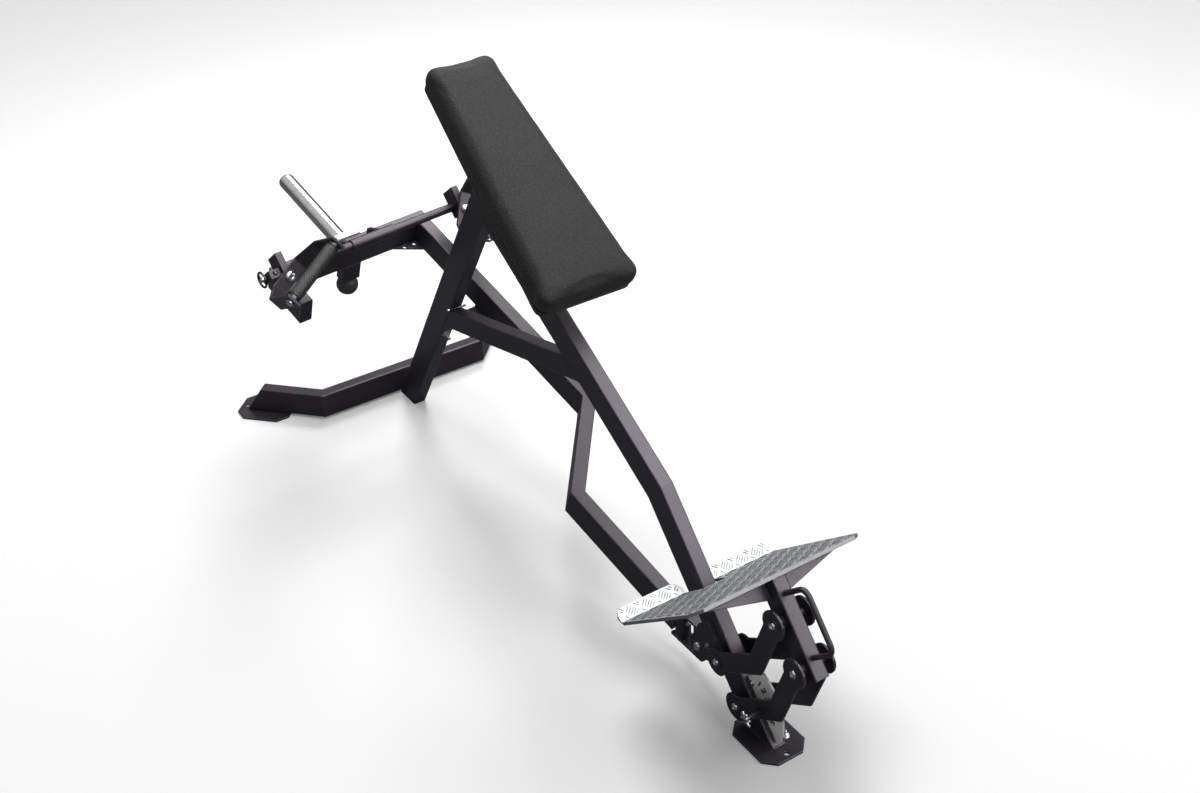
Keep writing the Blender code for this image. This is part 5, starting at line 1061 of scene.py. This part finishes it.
def makeFloor():
    builder = bmesh.new()
    half = floorLook["size"] / 2
    builder.faces.new([builder.verts.new((x * half, y * half, 0.0)) for x, y in ((-1, -1), (1, -1), (1, 1), (-1, 1))])
    mesh = bpy.data.meshes.new("studioFloor")
    builder.to_mesh(mesh)
    builder.free()
    floor = bpy.data.objects.new("studioFloor", mesh)
    scene.collection.objects.link(floor)
    floor.location.z = -0.0004
    made, tree, shader = newMaterial("studioFloor")
    spot = addNode(tree, "ShaderNodeTexCoord").outputs["Object"]
    parts = addNode(tree, "ShaderNodeSeparateXYZ", {0: spot})
    # floor colour darker towards the camera side: painted shade of the light falling off
    towards = maths(tree, "ADD", maths(tree, "MULTIPLY", parts.outputs["X"], 0.58),
                    maths(tree, "MULTIPLY", parts.outputs["Y"], -0.52))
    tone = mixColour(tree, remap(tree, towards, -2.6, 1.2), floorLook["far"], floorLook["near"])
    paths = addNode(tree, "ShaderNodeLightPath")
    # in reflections the floor shows a dark grey instead of its own colour: painted shade in the reflections on the
    # pieces
    tree.links.new(mixColour(tree, paths.outputs["Is Glossy Ray"], tone, floorLook["mirrored"]),
                   shader.inputs["Base Color"])
    # a camera-only glow on the floor, from 0.10 near the machine to 0.30 three metres away: painted light on the far
    # floor, leaving painted shade round the machine
    away = addNode(tree, "ShaderNodeVectorMath", {0: spot, 1: (-1.0, 0.0, 0.0)}, operation="DISTANCE")
    near, far = floorLook["lift"]
    lift = remap(tree, away.outputs["Value"], 0.9, 3.0, near, far)
    tree.links.new(maths(tree, "MULTIPLY", paths.outputs["Is Camera Ray"], lift),
                   shader.inputs["Emission Strength"])
    shader.inputs["Emission Color"].default_value = (1, 1, 1, 1)
    shader.inputs["Roughness"].default_value = 0.75
    shader.inputs["Specular IOR Level"].default_value = 0.15
    mesh.materials.append(made)


worldLook = {"soft": 0.36, "plain": 0.97, "sheenWay": (0.45, 0.45, 0.77), "sheen": 6.5}


def makeWorld():
    world = bpy.data.worlds.new("studioWorld")
    scene.world = world
    world.use_nodes = True
    tree = world.node_tree
    tree.nodes.clear()
    out = addNode(tree, "ShaderNodeOutputWorld")
    paths = addNode(tree, "ShaderNodeLightPath")
    soft = addNode(tree, "ShaderNodeBackground", {"Color": (1, 1, 1, 1), "Strength": worldLook["soft"]})
    way = addNode(tree, "ShaderNodeTexCoord").outputs["Generated"]
    height = addNode(tree, "ShaderNodeSeparateXYZ", {0: way}).outputs["Z"]
    seen = addNode(tree, "ShaderNodeBackground", {"Color": (1, 1, 1, 1)})
    sheen = addNode(tree, "ShaderNodeVectorMath", {0: way, 1: worldLook["sheenWay"]}, operation="DOT_PRODUCT")
    patch = remap(tree, sheen.outputs["Value"], 0.72, 0.98, 0.0, worldLook["sheen"])
    sky = remap(tree, height, 0.05, 0.75, 0.05, 0.60)
    tree.links.new(maths(tree, "ADD", sky, patch), seen.inputs["Strength"])
    mix = addNode(tree, "ShaderNodeMixShader", {0: paths.outputs["Is Glossy Ray"]})
    tree.links.new(soft.outputs[0], mix.inputs[1])
    tree.links.new(seen.outputs[0], mix.inputs[2])
    plain = addNode(tree, "ShaderNodeBackground", {"Color": (1, 1, 1, 1), "Strength": worldLook["plain"]})
    last = addNode(tree, "ShaderNodeMixShader", {0: paths.outputs["Is Camera Ray"]})
    tree.links.new(mix.outputs[0], last.inputs[1])
    tree.links.new(plain.outputs[0], last.inputs[2])
    tree.links.new(last.outputs[0], out.inputs["Surface"])


lamps = [
    {"name": "overheadSoft", "at": (-1.5, 0.2, 3.7), "aim": (-1.1, 0.0, 0.0), "size": 1.8, "power": 62},
    {"name": "farRight", "at": (2.1, 3.2, 4.9), "aim": (-0.6, 0.0, 0.3), "size": 3.4, "power": 60},
    {"name": "farLeft", "at": (-3.4, 1.4, 3.4), "aim": (-0.6, 0.0, 0.2), "size": 1.5, "power": 62},
    {"name": "nearFill", "at": (3.4, -2.6, 2.2), "aim": (-0.6, 0.0, 0.5), "size": 2.0, "power": 3},
]


def makeLamps():
    for lamp in lamps:
        light = bpy.data.lights.new(lamp["name"], "AREA")
        light.shape = "DISK"
        light.size = lamp["size"]
        light.energy = lamp["power"]
        item = bpy.data.objects.new(lamp["name"], light)
        scene.collection.objects.link(item)
        item.location = lamp["at"]
        away = Vector(lamp["at"]) - Vector(lamp["aim"])
        item.rotation_euler = away.to_track_quat("Z", "Y").to_euler()


cameraLook = {"at": (1.9488, -1.7654, 2.7807), "yaw": 2.5618, "pitch": 0.5947, "roll": -0.0213,
              "lens": 1551.9084 / 1200 * 36}


def makeCamera():
    data = bpy.data.cameras.new("photoCamera")
    data.sensor_width = 36
    data.lens = cameraLook["lens"]
    data.clip_start, data.clip_end = 0.05, 200
    camera = bpy.data.objects.new("photoCamera", data)
    scene.collection.objects.link(camera)
    yaw, pitch, roll = cameraLook["yaw"], cameraLook["pitch"], cameraLook["roll"]
    forward = Vector((math.cos(yaw) * math.cos(pitch), math.sin(yaw) * math.cos(pitch), -math.sin(pitch)))
    level = forward.cross(Vector((0, 0, 1))).normalized()
    upward = level.cross(forward)
    right = level * math.cos(roll) + upward * math.sin(roll)
    up = upward * math.cos(roll) - level * math.sin(roll)
    rotation = Matrix((right, up, -forward)).transposed()
    camera.matrix_world = Matrix.Translation(cameraLook["at"]) @ rotation.to_4x4()
    scene.camera = camera


makeFloor()
makeWorld()
makeLamps()
makeCamera()
scene.view_settings.view_transform = "Standard"
print("studio made")
